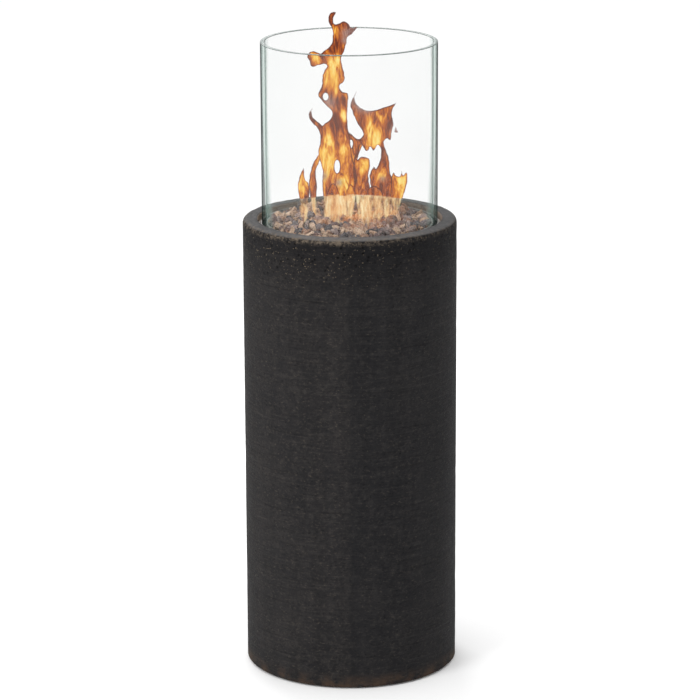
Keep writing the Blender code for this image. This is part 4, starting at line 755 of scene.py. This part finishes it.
def bed_surface(height, reach, name, first_ring=0):
    """A slightly domed disc for rocks to lie on, or its outer rings alone."""
    rings, segments = 8, 48
    verts = [(0, 0, height + 0.002)]
    for i in range(1, rings + 1):
        r = reach * i / rings
        for j in range(segments):
            a = 2 * math.pi * j / segments
            verts.append((r * math.cos(a), r * math.sin(a), height + 0.002 * (1 - (r / reach) ** 2)))
    faces = [] if first_ring else [(0, 1 + j, 1 + (j + 1) % segments) for j in range(segments)]
    for i in range(first_ring, rings - 1):
        a, b = 1 + i * segments, 1 + (i + 1) * segments
        faces += [(a + j, b + j, b + (j + 1) % segments, a + (j + 1) % segments) for j in range(segments)]
    mesh = bpy.data.meshes.new(name)
    mesh.from_pydata(verts, [], faces)
    obj = bpy.data.objects.new(name, mesh)
    bpy.context.scene.collection.objects.link(obj)
    return obj


def make_rocks():
    shapes = bpy.data.collections.new("rock_shapes")
    makers = []
    for seed in range(1, 9):
        maker = bpy.data.objects.new(f"rock_shape_{seed}", rock_shape(seed))
        shapes.objects.link(maker)
        makers.append(maker)
    tree = rock_heap_tree(shapes)
    reach = GLASS_OUTER - GLASS_WALL - 0.0115
    top = rocks_high[2] - 0.001
    heaps = []
    for name, height, wider, first_ring, spacing, smallest, largest, seed in (
        ("under", top - 0.010, 0.0, 0, 0.0120, 0.022, 0.030, 3),
        ("upper", top, 0.0, 0, 0.0105, 0.014, 0.026, 8),
        ("edge", top - 0.003, 0.0045, 5, 0.0075, 0.010, 0.0145, 5),
    ):
        bed = bed_surface(height, reach + wider, f"bed_{name}", first_ring)
        modifier = bed.modifiers.new("heap", "NODES")
        modifier.node_group = tree
        set_input(modifier, "Spacing", spacing)
        set_input(modifier, "Smallest", smallest)
        set_input(modifier, "Largest", largest)
        set_input(modifier, "Seed", seed)
        set_input(modifier, "Shapes", shapes)
        set_input(modifier, "Finish", LAVA)
        heaps.append((bed, apply_modifiers(bed)))
    mesh = one_mesh("lava_heap", [mesh for _, mesh in heaps])
    for bed, _ in heaps:
        bpy.data.objects.remove(bed)
    heap = finish_piece("lava_heap", mesh, LAVA, 24)
    for maker in makers:
        bpy.data.objects.remove(maker)
    bpy.data.collections.remove(shapes)
    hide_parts("lava_rocks")
    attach(heap, "column")


# ---- copies placed by Geometry Nodes ----


def copies_tree():
    """Geometry Nodes: one shape copied to each place, standing along that place's facing."""
    tree = bpy.data.node_groups.new("copies", "GeometryNodeTree")
    for name, kind in (
        ("Places", "NodeSocketGeometry"),
        ("Shape", "NodeSocketObject"),
        ("Size", "NodeSocketFloat"),
        ("Finish", "NodeSocketMaterial"),
    ):
        tree.interface.new_socket(name, in_out="INPUT", socket_type=kind)
    tree.interface.new_socket("Copies", in_out="OUTPUT", socket_type="NodeSocketGeometry")
    new, link = tree.nodes.new, tree.links.new
    given, result = new("NodeGroupInput"), new("NodeGroupOutput")
    facing = new("GeometryNodeInputNamedAttribute")
    facing.data_type = "FLOAT_VECTOR"
    facing.inputs["Name"].default_value = "facing"
    stand = new("FunctionNodeAlignRotationToVector")
    stand.axis = "Z"
    link(facing.outputs["Attribute"], stand.inputs["Vector"])
    shape = new("GeometryNodeObjectInfo")
    link(given.outputs["Shape"], shape.inputs["Object"])
    place = new("GeometryNodeInstanceOnPoints")
    link(given.outputs["Places"], place.inputs["Points"])
    link(shape.outputs["Geometry"], place.inputs["Instance"])
    link(stand.outputs["Rotation"], place.inputs["Rotation"])
    link(given.outputs["Size"], place.inputs["Scale"])
    real = new("GeometryNodeRealizeInstances")
    link(place.outputs["Instances"], real.inputs["Geometry"])
    paint = new("GeometryNodeSetMaterial")
    link(real.outputs["Geometry"], paint.inputs["Geometry"])
    link(given.outputs["Finish"], paint.inputs["Material"])
    link(paint.outputs["Geometry"], result.inputs["Copies"])
    return tree


COPIES = copies_tree()


def copies(name, shape, places, size, finish, smooth_below=35):
    """Copies of shape at (place, facing) pairs, as one plain mesh."""
    mesh = bpy.data.meshes.new(name)
    mesh.from_pydata([tuple(place) for place, _ in places], [], [])
    facing = mesh.attributes.new("facing", "FLOAT_VECTOR", "POINT")
    for item, (_, way) in zip(facing.data, places):
        item.vector = way
    spots = bpy.data.objects.new(name, mesh)
    bpy.context.scene.collection.objects.link(spots)
    modifier = spots.modifiers.new("copies", "NODES")
    modifier.node_group = COPIES
    set_input(modifier, "Shape", shape)
    set_input(modifier, "Size", size)
    set_input(modifier, "Finish", finish)
    made = apply_modifiers(spots)
    bpy.data.objects.remove(spots)
    return finish_piece(name, made, finish, smooth_below)


def one_mesh(name, meshes):
    """Several meshes as one, in their order."""
    bm = bmesh.new()
    for mesh in meshes:
        bm.from_mesh(mesh)
    whole = bpy.data.meshes.new(name)
    bm.to_mesh(whole)
    bm.free()
    return whole


def shape_object(name, verts, faces):
    return piece_from(name, verts, faces, None, 35)


def lathe(profile, segments, centre=(0, 0, 0), way=(0, 0, 1)):
    """A solid turned from a (radius, height) line that starts and ends on its axis."""
    inner = [point for point in profile if point[0] > 0]
    verts, faces = [], []
    for i in range(segments):
        angle = 2 * math.pi * i / segments
        verts += [Vector((r * math.cos(angle), r * math.sin(angle), z)) for r, z in inner]
    count = len(inner)
    for i in range(segments):
        here, there = i * count, (i + 1) % segments * count
        faces += [(here + j, there + j, there + j + 1, here + j + 1) for j in range(count - 1)]
    low, high = len(verts), len(verts) + 1
    verts += [Vector((0, 0, profile[0][1])), Vector((0, 0, profile[-1][1]))]
    for i in range(segments):
        here, there = i * count, (i + 1) % segments * count
        faces.append((low, there, here))
        faces.append((high, here + count - 1, there + count - 1))
    turn = Vector(way).to_track_quat("Z", "Y").to_matrix()
    return [turn @ v + Vector(centre) for v in verts], faces


def arc_slab(radii, angles, heights, steps=48):
    """A closed slab of a tube's wall; angles run clockwise from the back, seen from above."""
    verts, faces = [], []
    for i in range(steps + 1):
        a = angles[0] + (angles[1] - angles[0]) * i / steps
        for r, z in ((0, 0), (1, 0), (1, 1), (0, 1)):
            verts.append((radii[r] * math.sin(a), radii[r] * math.cos(a), heights[z]))
    for i in range(steps):
        here, there = 4 * i, 4 * i + 4
        faces += [(here + j, here + (j + 1) % 4, there + (j + 1) % 4, there + j) for j in range(4)]
    faces += [(3, 2, 1, 0), tuple(4 * steps + j for j in range(4))]
    return verts, faces


def joined(name, parts, finish, smooth_below=35):
    """Several closed shapes as one piece."""
    verts, faces = [], []
    for part_verts, part_faces in parts:
        start = len(verts)
        verts += part_verts
        faces += [tuple(start + i for i in face) for face in part_faces]
    obj = piece_from(name, verts, faces, finish, smooth_below)
    bm = bmesh.new()
    bm.from_mesh(obj.data)
    bmesh.ops.recalc_face_normals(bm, faces=bm.faces)
    bm.to_mesh(obj.data)
    bm.free()
    return obj


def middle_of(node):
    low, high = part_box(node)
    return (Vector(low) + Vector(high)) / 2


def as_piece(obj, node, body):
    """Hands a finished piece over in place of a node."""
    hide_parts(node)
    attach(obj, body)


# ---- door ----


DOOR_SHEET, DOOR_DEPTH = 0.0015, 0.014
SLOT_HALF = (0.045, 0.003)
SLOT_FROM_END, SLOT_PITCH, SLOTS = 0.045, 0.016, 4


def make_door():
    """The door: a curved sheet with folded edges, slots, and a pressed lip over each slot."""
    half = math.asin(door_high[0] / OUTER)
    low, high = door_low[2], door_high[2]
    sheet, deep = DOOR_SHEET, DOOR_DEPTH
    shell = joined("door_sheet", [arc_slab((OUTER - sheet, OUTER), (-half, half), (low, high), 72)], POWDER_COAT)
    ends = ((low + SLOT_FROM_END, SLOT_PITCH), (high - SLOT_FROM_END, -SLOT_PITCH))
    slots = [start + step * i for start, step in ends for i in range(SLOTS)]
    half_long, half_tall = SLOT_HALF
    cutters = [box_tool((-half_long, 0.15, z - half_tall), (half_long, 0.25, z + half_tall)) for z in slots]
    cut_with(shell, cutters)
    folds = [
        arc_slab((OUTER - deep, OUTER - sheet), (-half, half), (low, low + sheet), 72),
        arc_slab((OUTER - deep, OUTER - sheet), (-half, half), (high - sheet, high), 72),
        arc_slab((OUTER - deep, OUTER - sheet), (-half, -half + sheet / OUTER), (low + sheet, high - sheet), 2),
        arc_slab((OUTER - deep, OUTER - sheet), (half - sheet / OUTER, half), (low + sheet, high - sheet), 2),
    ]
    lip_line = [(0, 0.0034), (0.0012, 0.0048), (0.0024, 0.0046), (0.0030, 0.0034), (0.0026, 0.0030), (0, 0.0030)]
    steps, lip = 16, []
    for i in range(steps + 1):
        a = (i / steps - 0.5) * 0.47
        fade = 1 - abs(i / steps - 0.5) * 0.9
        for out, up in lip_line:
            reach = OUTER + out * fade
            lip.append((reach * math.sin(a), reach * math.cos(a), up))
    count = len(lip_line)
    lip_faces = [
        (count * i + j, count * i + (j + 1) % count, count * (i + 1) + (j + 1) % count, count * (i + 1) + j)
        for i in range(steps)
        for j in range(count)
    ]
    lip_faces += [tuple(reversed(range(count))), tuple(count * steps + j for j in range(count))]
    lip_shape = shape_object("lip_shape", lip, lip_faces)
    lips = copies("slot_lips", lip_shape, [((0, 0, z), (0, 0, 1)) for z in slots], 1.0, POWDER_COAT)
    bpy.data.objects.remove(lip_shape)
    fold_piece = joined("door_folds", folds, POWDER_COAT)
    pieces = (shell, fold_piece, lips)
    mesh = one_mesh("door", [piece.data for piece in pieces])
    for piece in pieces:
        bpy.data.objects.remove(piece)
    as_piece(finish_piece("door_sheet_metal", mesh, POWDER_COAT, 30), "door_panel", "door")

    middle = middle_of("door_knob")
    way = Vector((middle.x, middle.y, 0)).normalized()
    foot = way * (OUTER + FIT) + Vector((0, 0, middle.z))
    knob = [(0, 0), (0.0070, 0), (0.0070, 0.0015), (0.0052, 0.0030), (0.0048, 0.0085), (0.0060, 0.0110),
            (0.0105, 0.0130), (0.0126, 0.0150), (0.0130, 0.0172), (0.0124, 0.0196), (0.0104, 0.0212),
            (0.0060, 0.0219), (0, 0.0220)]
    verts, faces = lathe(knob, 40, foot, way)
    as_piece(joined("door_pull", [(verts, faces)], POWDER_COAT, 50), "door_knob", "door")


def make_rivets():
    """Three rivets on each hinge leaf."""
    head = [(0, 0), (0.0024, 0), (0.0024, 0.0003), (0.0020, 0.0009), (0.0011, 0.0013), (0, 0.0014)]
    shape = shape_object("rivet_shape", *lathe(head, 12))
    for which, body in (("frame", "column"), ("door", "door")):
        places = []
        for i in (1, 2):
            middle = middle_of(f"hinge_{i}_{which}_leaf")
            pin = middle_of(f"hinge_{i}_pin")
            from_back = math.atan2(pin.x, pin.y) + (0.066 if which == "door" else -0.066)
            way = Vector((math.sin(from_back), math.cos(from_back), 0))
            for up in (-0.017, 0.0, 0.017):
                places.append((way * (OUTER + 0.0021) + Vector((0, 0, middle.z + up)), way))
        rivets = copies(f"hinge_rivets_{which}", shape, places, 1.0, ZINC)
        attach(rivets, body)
    bpy.data.objects.remove(shape)


# ---- controls ----


BLOCK_FACES = [(3, 2, 1, 0), (4, 5, 6, 7)] + [(i, (i + 1) % 4, 4 + (i + 1) % 4, 4 + i) for i in range(4)]


def make_controls():
    """Panel with rounded corners and dial marks, fluted knob with its skirt, ring, and domed button."""
    low, high = Vector(panel_low), Vector(panel_high)
    centre = (low + high) / 2
    half_x, half_z, round_r, edge = (high.x - low.x) / 2, (high.z - low.z) / 2, 0.006, 0.0005
    outline = []
    for quarter, (sx, sz) in enumerate(((1, 1), (-1, 1), (-1, -1), (1, -1))):
        for i in range(7):
            a = math.pi / 2 * (quarter + i / 6)
            across = sx * (half_x - round_r) + round_r * math.cos(a)
            outline.append((across, sz * (half_z - round_r) + round_r * math.sin(a)))
    count, verts = len(outline), []
    for y, shrink in ((low.y, 0.0), (high.y - edge, 0.0), (high.y, edge)):
        for x, z in outline:
            verts.append((centre.x + x * (1 - shrink / half_x), y, centre.z + z * (1 - shrink / half_z)))
    faces = [tuple(range(count)), tuple(reversed(range(2 * count, 3 * count)))]
    for ring in range(2):
        a, b = ring * count, (ring + 1) * count
        faces += [(a + i, b + i, b + (i + 1) % count, a + (i + 1) % count) for i in range(count)]
    panel = joined("control_plate", [(verts, faces)], PANEL_STEEL, 30)
    button = middle_of("igniter_button")
    hole_tools = []
    for x, z, r in ((middle_of("knob_bezel").x, centre.z, 0.0150), (button.x, centre.z, 0.0106)):
        drill = lathe([(0, 0), (r, 0), (r, 0.02), (0, 0.02)], 40, (x, high.y - 0.01, z), (0, 1, 0))
        hole_tools.append(joined("hole", [drill], PANEL_STEEL))
    cut_with(panel, hole_tools)
    panel.data.materials.clear()
    panel.data.materials.append(PANEL_STEEL)
    panel.data.set_sharp_from_angle(angle=math.radians(30))
    as_piece(panel, "control_panel", "column")

    dial = middle_of("knob_bezel")
    mark = [(-0.0003, 0, 0), (0.0003, 0, 0), (0.0003, 0.0028, 0), (-0.0003, 0.0028, 0)]
    mark += [(x, y, 0.0002) for x, y, _ in mark]
    marks = []
    for i in range(15):
        a = math.radians(210) * i / 14 - math.radians(105)
        out = Vector((math.sin(a), 0, math.cos(a)))
        size = 1.6 if i % 7 == 0 else 1.0
        base = Vector((dial.x, panel_high[1], dial.z)) + out * 0.0245
        side = Vector((math.cos(a), 0, -math.sin(a)))
        corners = [base + side * x * size + out * y * size + Vector((0, z, 0)) for x, y, z in mark]
        marks.append((corners, BLOCK_FACES))
    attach(joined("dial_marks", marks, BLACK_PLASTIC), "column")

    ring_line = [(0.0190, 0), (0.0230, 0), (0.0230, 0.0010), (0.0222, 0.0018), (0.0212, 0.0020), (0.0196, 0.0018),
                 (0.0190, 0.0010)]
    ring_verts, ring_faces = turned(ring_line, 72)
    turn = Vector((0, 1, 0)).to_track_quat("Z", "Y").to_matrix()
    foot = Vector((dial.x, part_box("knob_bezel")[0][1], dial.z))
    ring_verts = [turn @ Vector(v) + foot for v in ring_verts]
    ring = joined("knob_ring", [(ring_verts, ring_faces)], BLACK_PLASTIC, 40)
    as_piece(ring, "knob_bezel", "column")

    knob_verts, knob_faces = [], []
    rows = [(0.0168, 0.0), (0.0170, 0.0012), (0.0166, 0.0030), (0.0150, 0.0042), (0.0148, 0.0060), (0.0142, 0.0190),
            (0.0134, 0.0210), (0.0120, 0.0218), (0.0060, 0.0220)]
    around, foot = 120, Vector((middle_of("control_knob").x, knob_low[1], middle_of("control_knob").z))
    for r, up in rows:
        flute = 0.0007 if 0.004 < up < 0.0212 else 0.0
        for i in range(around):
            a = 2 * math.pi * i / around
            reach = r - flute * (0.5 - 0.5 * math.cos(24 * a))
            knob_verts.append(foot + Vector((reach * math.sin(a), up, reach * math.cos(a))))
    for row in range(len(rows) - 1):
        for i in range(around):
            a, b, j = row * around, (row + 1) * around, (i + 1) % around
            knob_faces.append((a + i, a + j, b + j, b + i))
    knob_faces += [tuple(reversed(range(around))), tuple(range((len(rows) - 1) * around, len(rows) * around))]
    pointer = [foot + Vector((x, 0.0219 + y, z)) for y, k in ((0, 1.0), (0.0012, 0.8)) for x, z in
               ((-0.0016 * k, -0.011), (0.0016 * k, -0.011), (0.0016 * k, 0.0125 * k), (-0.0016 * k, 0.0125 * k))]
    knob = joined("gas_knob", [(knob_verts, knob_faces), (pointer, BLOCK_FACES)], BLACK_PLASTIC, 40)
    as_piece(knob, "control_knob", "knob")

    button_low, button_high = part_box("igniter_button")
    tall = button_high[1] - button_low[1]
    cap = [(0, 0), (0.0062, 0), (0.0062, tall - 0.0050), (0.0108, tall - 0.0050), (0.0110, tall - 0.0018),
           (0.0102, tall - 0.0006), (0.0082, tall - 0.0002), (0.0076, tall - 0.0007), (0.0070, tall - 0.0002),
           (0.0052, tall - 0.0002), (0.0046, tall - 0.0007), (0.0040, tall - 0.0002), (0, tall)]
    verts, faces = lathe(cap, 48, (button.x, button_low[1], button.z), (0, 1, 0))
    cap = joined("igniter_cap", [(verts, faces)], BLACK_PLASTIC, 40)
    as_piece(cap, "igniter_button", "button")


def make_screws():
    """Pan-head screws with a cross recess, one shape copied to every place of its kind."""
    for kind, count, way, radius, body in (
        ("panel_screw", 2, (0, 1, 0), 0.0018, "column"),
        ("floor_screw", 3, (0, 0, 1), 0.0020, "column"),
        ("shield_screw", 3, (0, 0, -1), 0.0025, "column"),
    ):
        way = Vector(way)
        first_low, first_high = (Vector(v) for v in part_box(f"{kind}_1"))
        head_r, head_h = 2.1 * radius, 1.3 * radius
        length = abs((first_high - first_low).dot(way)) - head_h
        line = [(0, -length), (radius * 0.7, -length), (radius, -length + radius), (radius, 0), (head_r, 0),
                (head_r, head_h * 0.35), (head_r * 0.86, head_h * 0.72), (head_r * 0.55, head_h * 0.96), (0, head_h)]
        blank = joined("blank", [lathe(line, 24)], ZINC)
        slot, cross = head_r * 0.13, head_r * 0.6
        cut_with(blank, [
            box_tool((-cross, -slot, head_h * 0.4), (cross, slot, head_h * 2)),
            box_tool((-slot, -cross, head_h * 0.4), (slot, cross, head_h * 2)),
        ])
        places = []
        for i in range(1, count + 1):
            low, high = (Vector(v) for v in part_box(f"{kind}_{i}"))
            middle = (low + high) / 2
            seat = middle + way * ((high - low).dot(Vector([abs(c) for c in way])) / 2 - head_h)
            places.append((seat, way))
        screws = copies(f"{kind}s", blank, places, 1.0, ZINC, 30)
        bpy.data.objects.remove(blank)
        for i in range(1, count + 1):
            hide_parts(f"{kind}_{i}")
        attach(screws, body)


# ---- flames ----

# Each sheet of flame: how far it stands back in mm, then its outline as (sideways, height over the rim) in mm.
TRUNK = (
    0,
    [(-48, -14), (-50, 18), (-50, 45), (-51, 70), (-50, 88), (-55, 108), (-58, 124), (-55, 140), (-54, 156), (-60, 171),
     (-67, 178), (-73, 186), (-76, 195), (-73, 204), (-68, 209), (-70, 199), (-68, 191), (-58, 182), (-50, 175),
     (-46, 179), (-38, 184), (-32, 194), (-33, 204), (-42, 213), (-51, 223), (-58, 235), (-51, 252), (-49, 273),
     (-41, 289), (-46, 293), (-57, 291), (-69, 288), (-74, 299), (-78, 308), (-74, 315), (-66, 318), (-54, 314),
     (-46, 319), (-39, 324), (-32, 333), (-30, 346), (-31, 360), (-37, 371), (-38, 382), (-34, 391), (-29, 393),
     (-24, 392), (-28, 384), (-29, 374), (-26, 369), (-18, 371), (-9, 375), (-2, 371), (5, 362), (16, 364), (9, 354),
     (4, 349), (-3, 344), (-5, 334), (-9, 318), (-15, 303), (-13, 290), (-8, 264), (-18, 251), (-13, 240), (-2, 235),
     (-3, 213), (-4, 189), (-2, 163), (1, 148), (3, 132), (5, 116), (9, 98), (11, 74), (8, 45), (3, 15), (0, -12),
     (-9, -2), (-16, -18), (-24, -6), (-33, -20), (-41, -6)],
)
LEFT_STRAND = (
    18,
    [(-66, -10), (-71, 15), (-75, 45), (-76, 68), (-73, 87), (-68, 104), (-58, 122), (-49, 136), (-52, 118), (-57, 106),
     (-62, 94), (-63, 78), (-61, 60), (-62, 40), (-61, 15), (-60, -8)],
)
LEFT_TONGUE = (
    26,
    [(-84, 0), (-92, 24), (-95, 42), (-97, 60), (-94, 78), (-86, 96), (-85, 81), (-82, 71), (-77, 66), (-75, 50),
     (-77, 30), (-80, 8)],
)
LEAF = (
    -14,
    [(1, 142), (0, 161), (8, 153), (16, 148), (22, 151), (26, 160), (15, 178), (6, 200), (2, 213), (6, 225), (14, 239),
     (10, 223), (16, 212), (24, 206), (36, 202), (48, 203), (57, 206), (68, 210), (80, 214), (87, 217), (81, 206),
     (79, 194), (82, 179), (79, 162), (76, 145), (70, 149), (64, 143), (66, 131), (73, 111), (75, 87), (79, 72),
     (78, 45), (75, 10), (68, -16), (61, -4), (53, -18), (45, 8), (40, 45), (38, 68), (38, 81), (45, 96), (48, 91),
     (52, 95), (58, 111), (58, 130), (53, 137), (49, 131), (44, 125), (39, 133), (35, 127), (30, 126), (22, 138),
     (18, 130), (15, 112), (9, 117), (5, 130)],
)
MIDDLE = (
    -26,
    [(16, -14), (12, 20), (9, 55), (7, 90), (10, 118), (15, 108), (20, 113), (29, 113), (37, 108), (38, 95), (35, 76),
     (38, 45), (36, 12), (31, -22), (24, -6)],
)
RIGHT_TONGUE = (
    6,
    [(66, -6), (70, 28), (72, 54), (77, 73), (82, 85), (87, 78), (94, 77), (97, 88), (100, 79), (106, 85), (108, 71),
     (105, 55), (99, 36), (93, 12), (87, -12), (77, 0)],
)
SHOULDER = (
    4,
    [(-10, 172), (-3, 166), (2, 158), (9, 152), (19, 147), (27, 152), (24, 136), (18, 122), (14, 100), (15, 60), (10, 20),
     (0, 4), (-8, 40), (-10, 100), (-12, 140)],
)
SPARK = (0, [(84, 162), (91, 161), (89, 166), (87, 173)])
LOW_FLAMES = [
    (-44, [(-42, 42), (-40, 5), (-36, -22), (-32, -26), (-26, -14), (-20, 6), (-18, 40), (-30, 62)]),
    (-48, [(63, 12), (66, 22), (70, 4), (69, -24), (66, -33), (64, -20)]),
    (-30, [(30, 44), (33, 8), (42, -8), (54, 2), (62, 40), (46, 58)]),
    (-36, [(-6, 44), (-4, 8), (0, -16), (4, -20), (8, 2), (9, 44), (2, 60)]),
    (-8, [(-30, 50), (-26, 4), (-16, -10), (-4, 10), (0, 50), (-14, 84)]),
    (-66, [(-36, 20), (-33, -16), (-27, -34), (-21, -36), (-17, -20), (-19, 4), (-26, 24)]),
    (-58, [(18, 26), (20, -6), (26, -24), (33, -28), (40, -14), (42, 10), (32, 30)]),
    (-50, [(-94, 20), (-91, -4), (-85, -16), (-78, -8), (-76, 12), (-84, 26)]),
]
HOLES = [(-44, 231, 5, 7), (-23, 96, 5, 13), (3, 140, 3.5, 8)]
HEARTS = [(-30, 262, 20), (-38, 106, 22), (45, 150, 18), (96, 66, 15), (-91, 62, 14), (28, 96, 10), (-10, 128, 9),
          (-8, 62, 14), (60, 78, 9), (-12, 195, 7), (-62, 306, 7), (-28, 356, 7), (-24, 300, 8), (-40, 150, 7)]
SMOKE = [(-4, 352, 11), (12, 362, 10), (-36, 221, 12), (10, 222, 10), (34, 205, 9), (20, 208, 8), (-71, 203, 9),
         (74, 122, 7), (-50, 78, 8), (-20, 66, 7), (62, 72, 6), (87, 168, 12), (-8, 338, 6)]
SHEET_STEP = 2.6
SHEET_THICK = 6.0
RISE_BACK = 0.185
SLOPE = math.tan(math.radians(14.7))


def smooth_outline(points):
    """The outline run smoothly through its points, with small ragged waves."""
    line = []
    count = len(points)
    for i in range(count):
        a, b, c, d = (Vector(points[(i + k) % count]) for k in (-1, 0, 1, 2))
        steps = max(2, round((c - b).length / SHEET_STEP))
        for j in range(steps):
            t = j / steps
            bend = (c - a) * t + (2 * a - 5 * b + 4 * c - d) * t * t + (3 * b - a - 3 * c + d) * t**3
            p = 0.5 * (2 * b + bend)
            shift = noise.noise_vector(Vector((p.x * 0.16, p.y * 0.16, 2.0)))
            line.append(p + Vector((shift.x, shift.y)) * 0.9)
    return line


def inside(point, line):
    """Whether a point lies inside a closed line."""
    crossed = False
    for a, b in zip(line, line[1:] + line[:1]):
        if (a.y > point.y) != (b.y > point.y) and point.x < (b.x - a.x) * (point.y - a.y) / (b.y - a.y) + a.x:
            crossed = not crossed
    return crossed


def distances(points, line):
    """Each point's distance to the nearest place on the lines."""
    starts = np.array([seg[0] for seg in line])
    spans = np.array([seg[1] for seg in line]) - starts
    lengths = (spans**2).sum(1)
    away = []
    for p in points:
        t = np.clip(((p - starts) * spans).sum(1) / lengths, 0, 1)
        away.append(np.sqrt((((starts + spans * t[:, None]) - p) ** 2).sum(1).min()))
    return np.array(away)


def add_sheet(bm, layers, back, outline, depth_seed):
    """One closed, pillow-like sheet of flame with ragged edges and its holes."""
    line = smooth_outline(outline)
    loops = [line]
    for x, h, wide, tall in HOLES:
        if inside(Vector((x, h)), line):
            turns = [2 * math.pi * k / 14 for k in range(14)]
            loops.append([Vector((x + wide * math.cos(a), h + tall * math.sin(a))) for a in turns])
    points, edges = [], []
    for loop in loops:
        first = len(points)
        points += loop
        edges += [(first + i, first + (i + 1) % len(loop)) for i in range(len(loop))]
    rim_count = len(points)
    segments = [(tuple(points[a]), tuple(points[b])) for a, b in edges]
    pick = random.Random(depth_seed)
    low_x, high_x = min(p.x for p in line), max(p.x for p in line)
    h = min(p.y for p in line)
    candidates = []
    while h < max(p.y for p in line):
        x = low_x
        while x < high_x:
            p = Vector((x + pick.uniform(-0.5, 0.5), h + pick.uniform(-0.5, 0.5)))
            if inside(p, line) and not any(inside(p, hole) for hole in loops[1:]):
                candidates.append(p)
            x += SHEET_STEP
        h += SHEET_STEP
    if candidates:
        away = distances(np.array([tuple(p) for p in candidates]), segments)
        points += [p for p, d in zip(candidates, away) if d > SHEET_STEP * 0.5]
    coords, _, faces, *_ = geometry.delaunay_2d_cdt(points, edges, [], 0, 1e-4)
    away = distances(np.array([tuple(p) for p in coords]), segments)
    front, rear = [], []
    for p, d in zip(coords, away):
        edge_on = d < 0.01
        puff = 0.0 if edge_on else SHEET_THICK * (1 - math.exp(-d / 5.0)) + 0.2
        wave = 9 * noise.noise(Vector((p.x * 0.022, p.y * 0.016, depth_seed * 3.7)))
        wave += 3 * noise.noise(Vector((p.x * 0.09, p.y * 0.04, depth_seed * 1.3)))
        heat = sum(math.exp(-((p.x - x) ** 2 + 0.45 * (p.y - hh) ** 2) / r**2) for x, hh, r in HEARTS)
        smoke = sum(math.exp(-((p.x - x) ** 2 + (p.y - hh) ** 2) / r**2) for x, hh, r in SMOKE)
        made = []
        for side in (-1, 1):
            y = back + RISE_BACK * max(p.y, -20) + wave + side * puff
            z = p.y - SLOPE * (y - side * puff)
            vert = bm.verts.new((p.x / 1000, y / 1000, RIM_Z + z / 1000))
            vert[layers["edge"]] = min(1.0, d / 10.0)
            vert[layers["core"]] = min(1.0, heat)
            vert[layers["smoke"]] = min(1.0, smoke)
            vert[layers["rise"]] = p.y / 100.0
            made.append(vert)
            if edge_on:
                break
        front.append(made[0])
        rear.append(made[-1])
    for face in faces:
        middle = (coords[face[0]] + coords[face[1]] + coords[face[2]]) / 3
        if inside(middle, line) and not any(inside(middle, hole) for hole in loops[1:]):
            bm.faces.new([front[i] for i in face])
            back_face = [rear[i] for i in reversed(face)]
            if any(front[i] is not rear[i] for i in face):
                bm.faces.new(back_face)


def make_flames():
    """Every sheet of flame, standing one behind the other over the burner."""
    bm = bmesh.new()
    layers = {name: bm.verts.layers.float.new(name) for name in ("edge", "core", "smoke", "rise")}
    sheets = [TRUNK, LEFT_STRAND, LEFT_TONGUE, LEAF, MIDDLE, RIGHT_TONGUE, SHOULDER, SPARK, *LOW_FLAMES]
    for seed, (back, outline) in enumerate(sheets, 1):
        add_sheet(bm, layers, back, outline, seed)
    bmesh.ops.recalc_face_normals(bm, faces=bm.faces)
    mesh = bpy.data.meshes.new("flames")
    bm.to_mesh(mesh)
    bm.free()
    flames = finish_piece("flames", mesh, FLAME, 180)
    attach(flames, "column")


# ---- stage, light and camera ----


def make_stage():
    floor = piece_from("floor", [(-30, -12, 0), (30, -12, 0), (30, 40, 0), (-30, 40, 0)], [(0, 1, 2, 3)], None)
    f = Finish("pale_floor", roughness=0.9)
    f.set(base_color=(0.97, 0.97, 0.97, 1.0), specular_ior_level=0.0)
    floor.data.materials.append(f.material)


def area_light(name, place, aim, size, power, colour=(1.0, 1.0, 1.0)):
    lamp = bpy.data.lights.new(name, "AREA")
    lamp.shape = "RECTANGLE"
    lamp.size, lamp.size_y = size
    lamp.energy = power
    lamp.color = colour
    obj = bpy.data.objects.new(name, lamp)
    obj.location = place
    obj.rotation_euler = (Vector(aim) - Vector(place)).to_track_quat("-Z", "Y").to_euler()
    bpy.context.scene.collection.objects.link(obj)


def make_light():
    world = bpy.data.worlds.new("studio")
    bpy.context.scene.world = world
    world.use_nodes = True
    background = world.node_tree.nodes["Background"]
    background.inputs["Color"].default_value = (1.0, 1.0, 1.0, 1.0)
    background.inputs["Strength"].default_value = 1.035
    area_light("key", (-2.4, -2.4, 2.7), (0, 0, 0.6), (1.4, 2.0), 60)
    area_light("rim_light", (-0.6, 2.4, 2.8), (0, 0, 0.9), (1.6, 1.2), 40)


def make_camera():
    camera = bpy.data.cameras.new("camera")
    camera.sensor_width = 36
    camera.lens = 168.5
    camera.dof.use_dof = False
    camera.clip_end = 200
    camera.shift_x = -0.0004
    obj = bpy.data.objects.new("camera", camera)
    obj.location = (0, -5.978, 2.174)
    down = Euler((math.radians(90 - 14.71), 0, 0)).to_matrix()
    obj.rotation_euler = (down @ Matrix.Rotation(math.radians(-0.24), 3, "Z")).to_euler()
    bpy.context.scene.collection.objects.link(obj)
    bpy.context.scene.camera = obj
    bpy.context.scene.view_settings.view_transform = "Standard"


make_column()
make_glass()
make_rocks()
make_door()
make_rivets()
make_controls()
make_screws()
make_flames()
make_stage()
make_light()
make_camera()
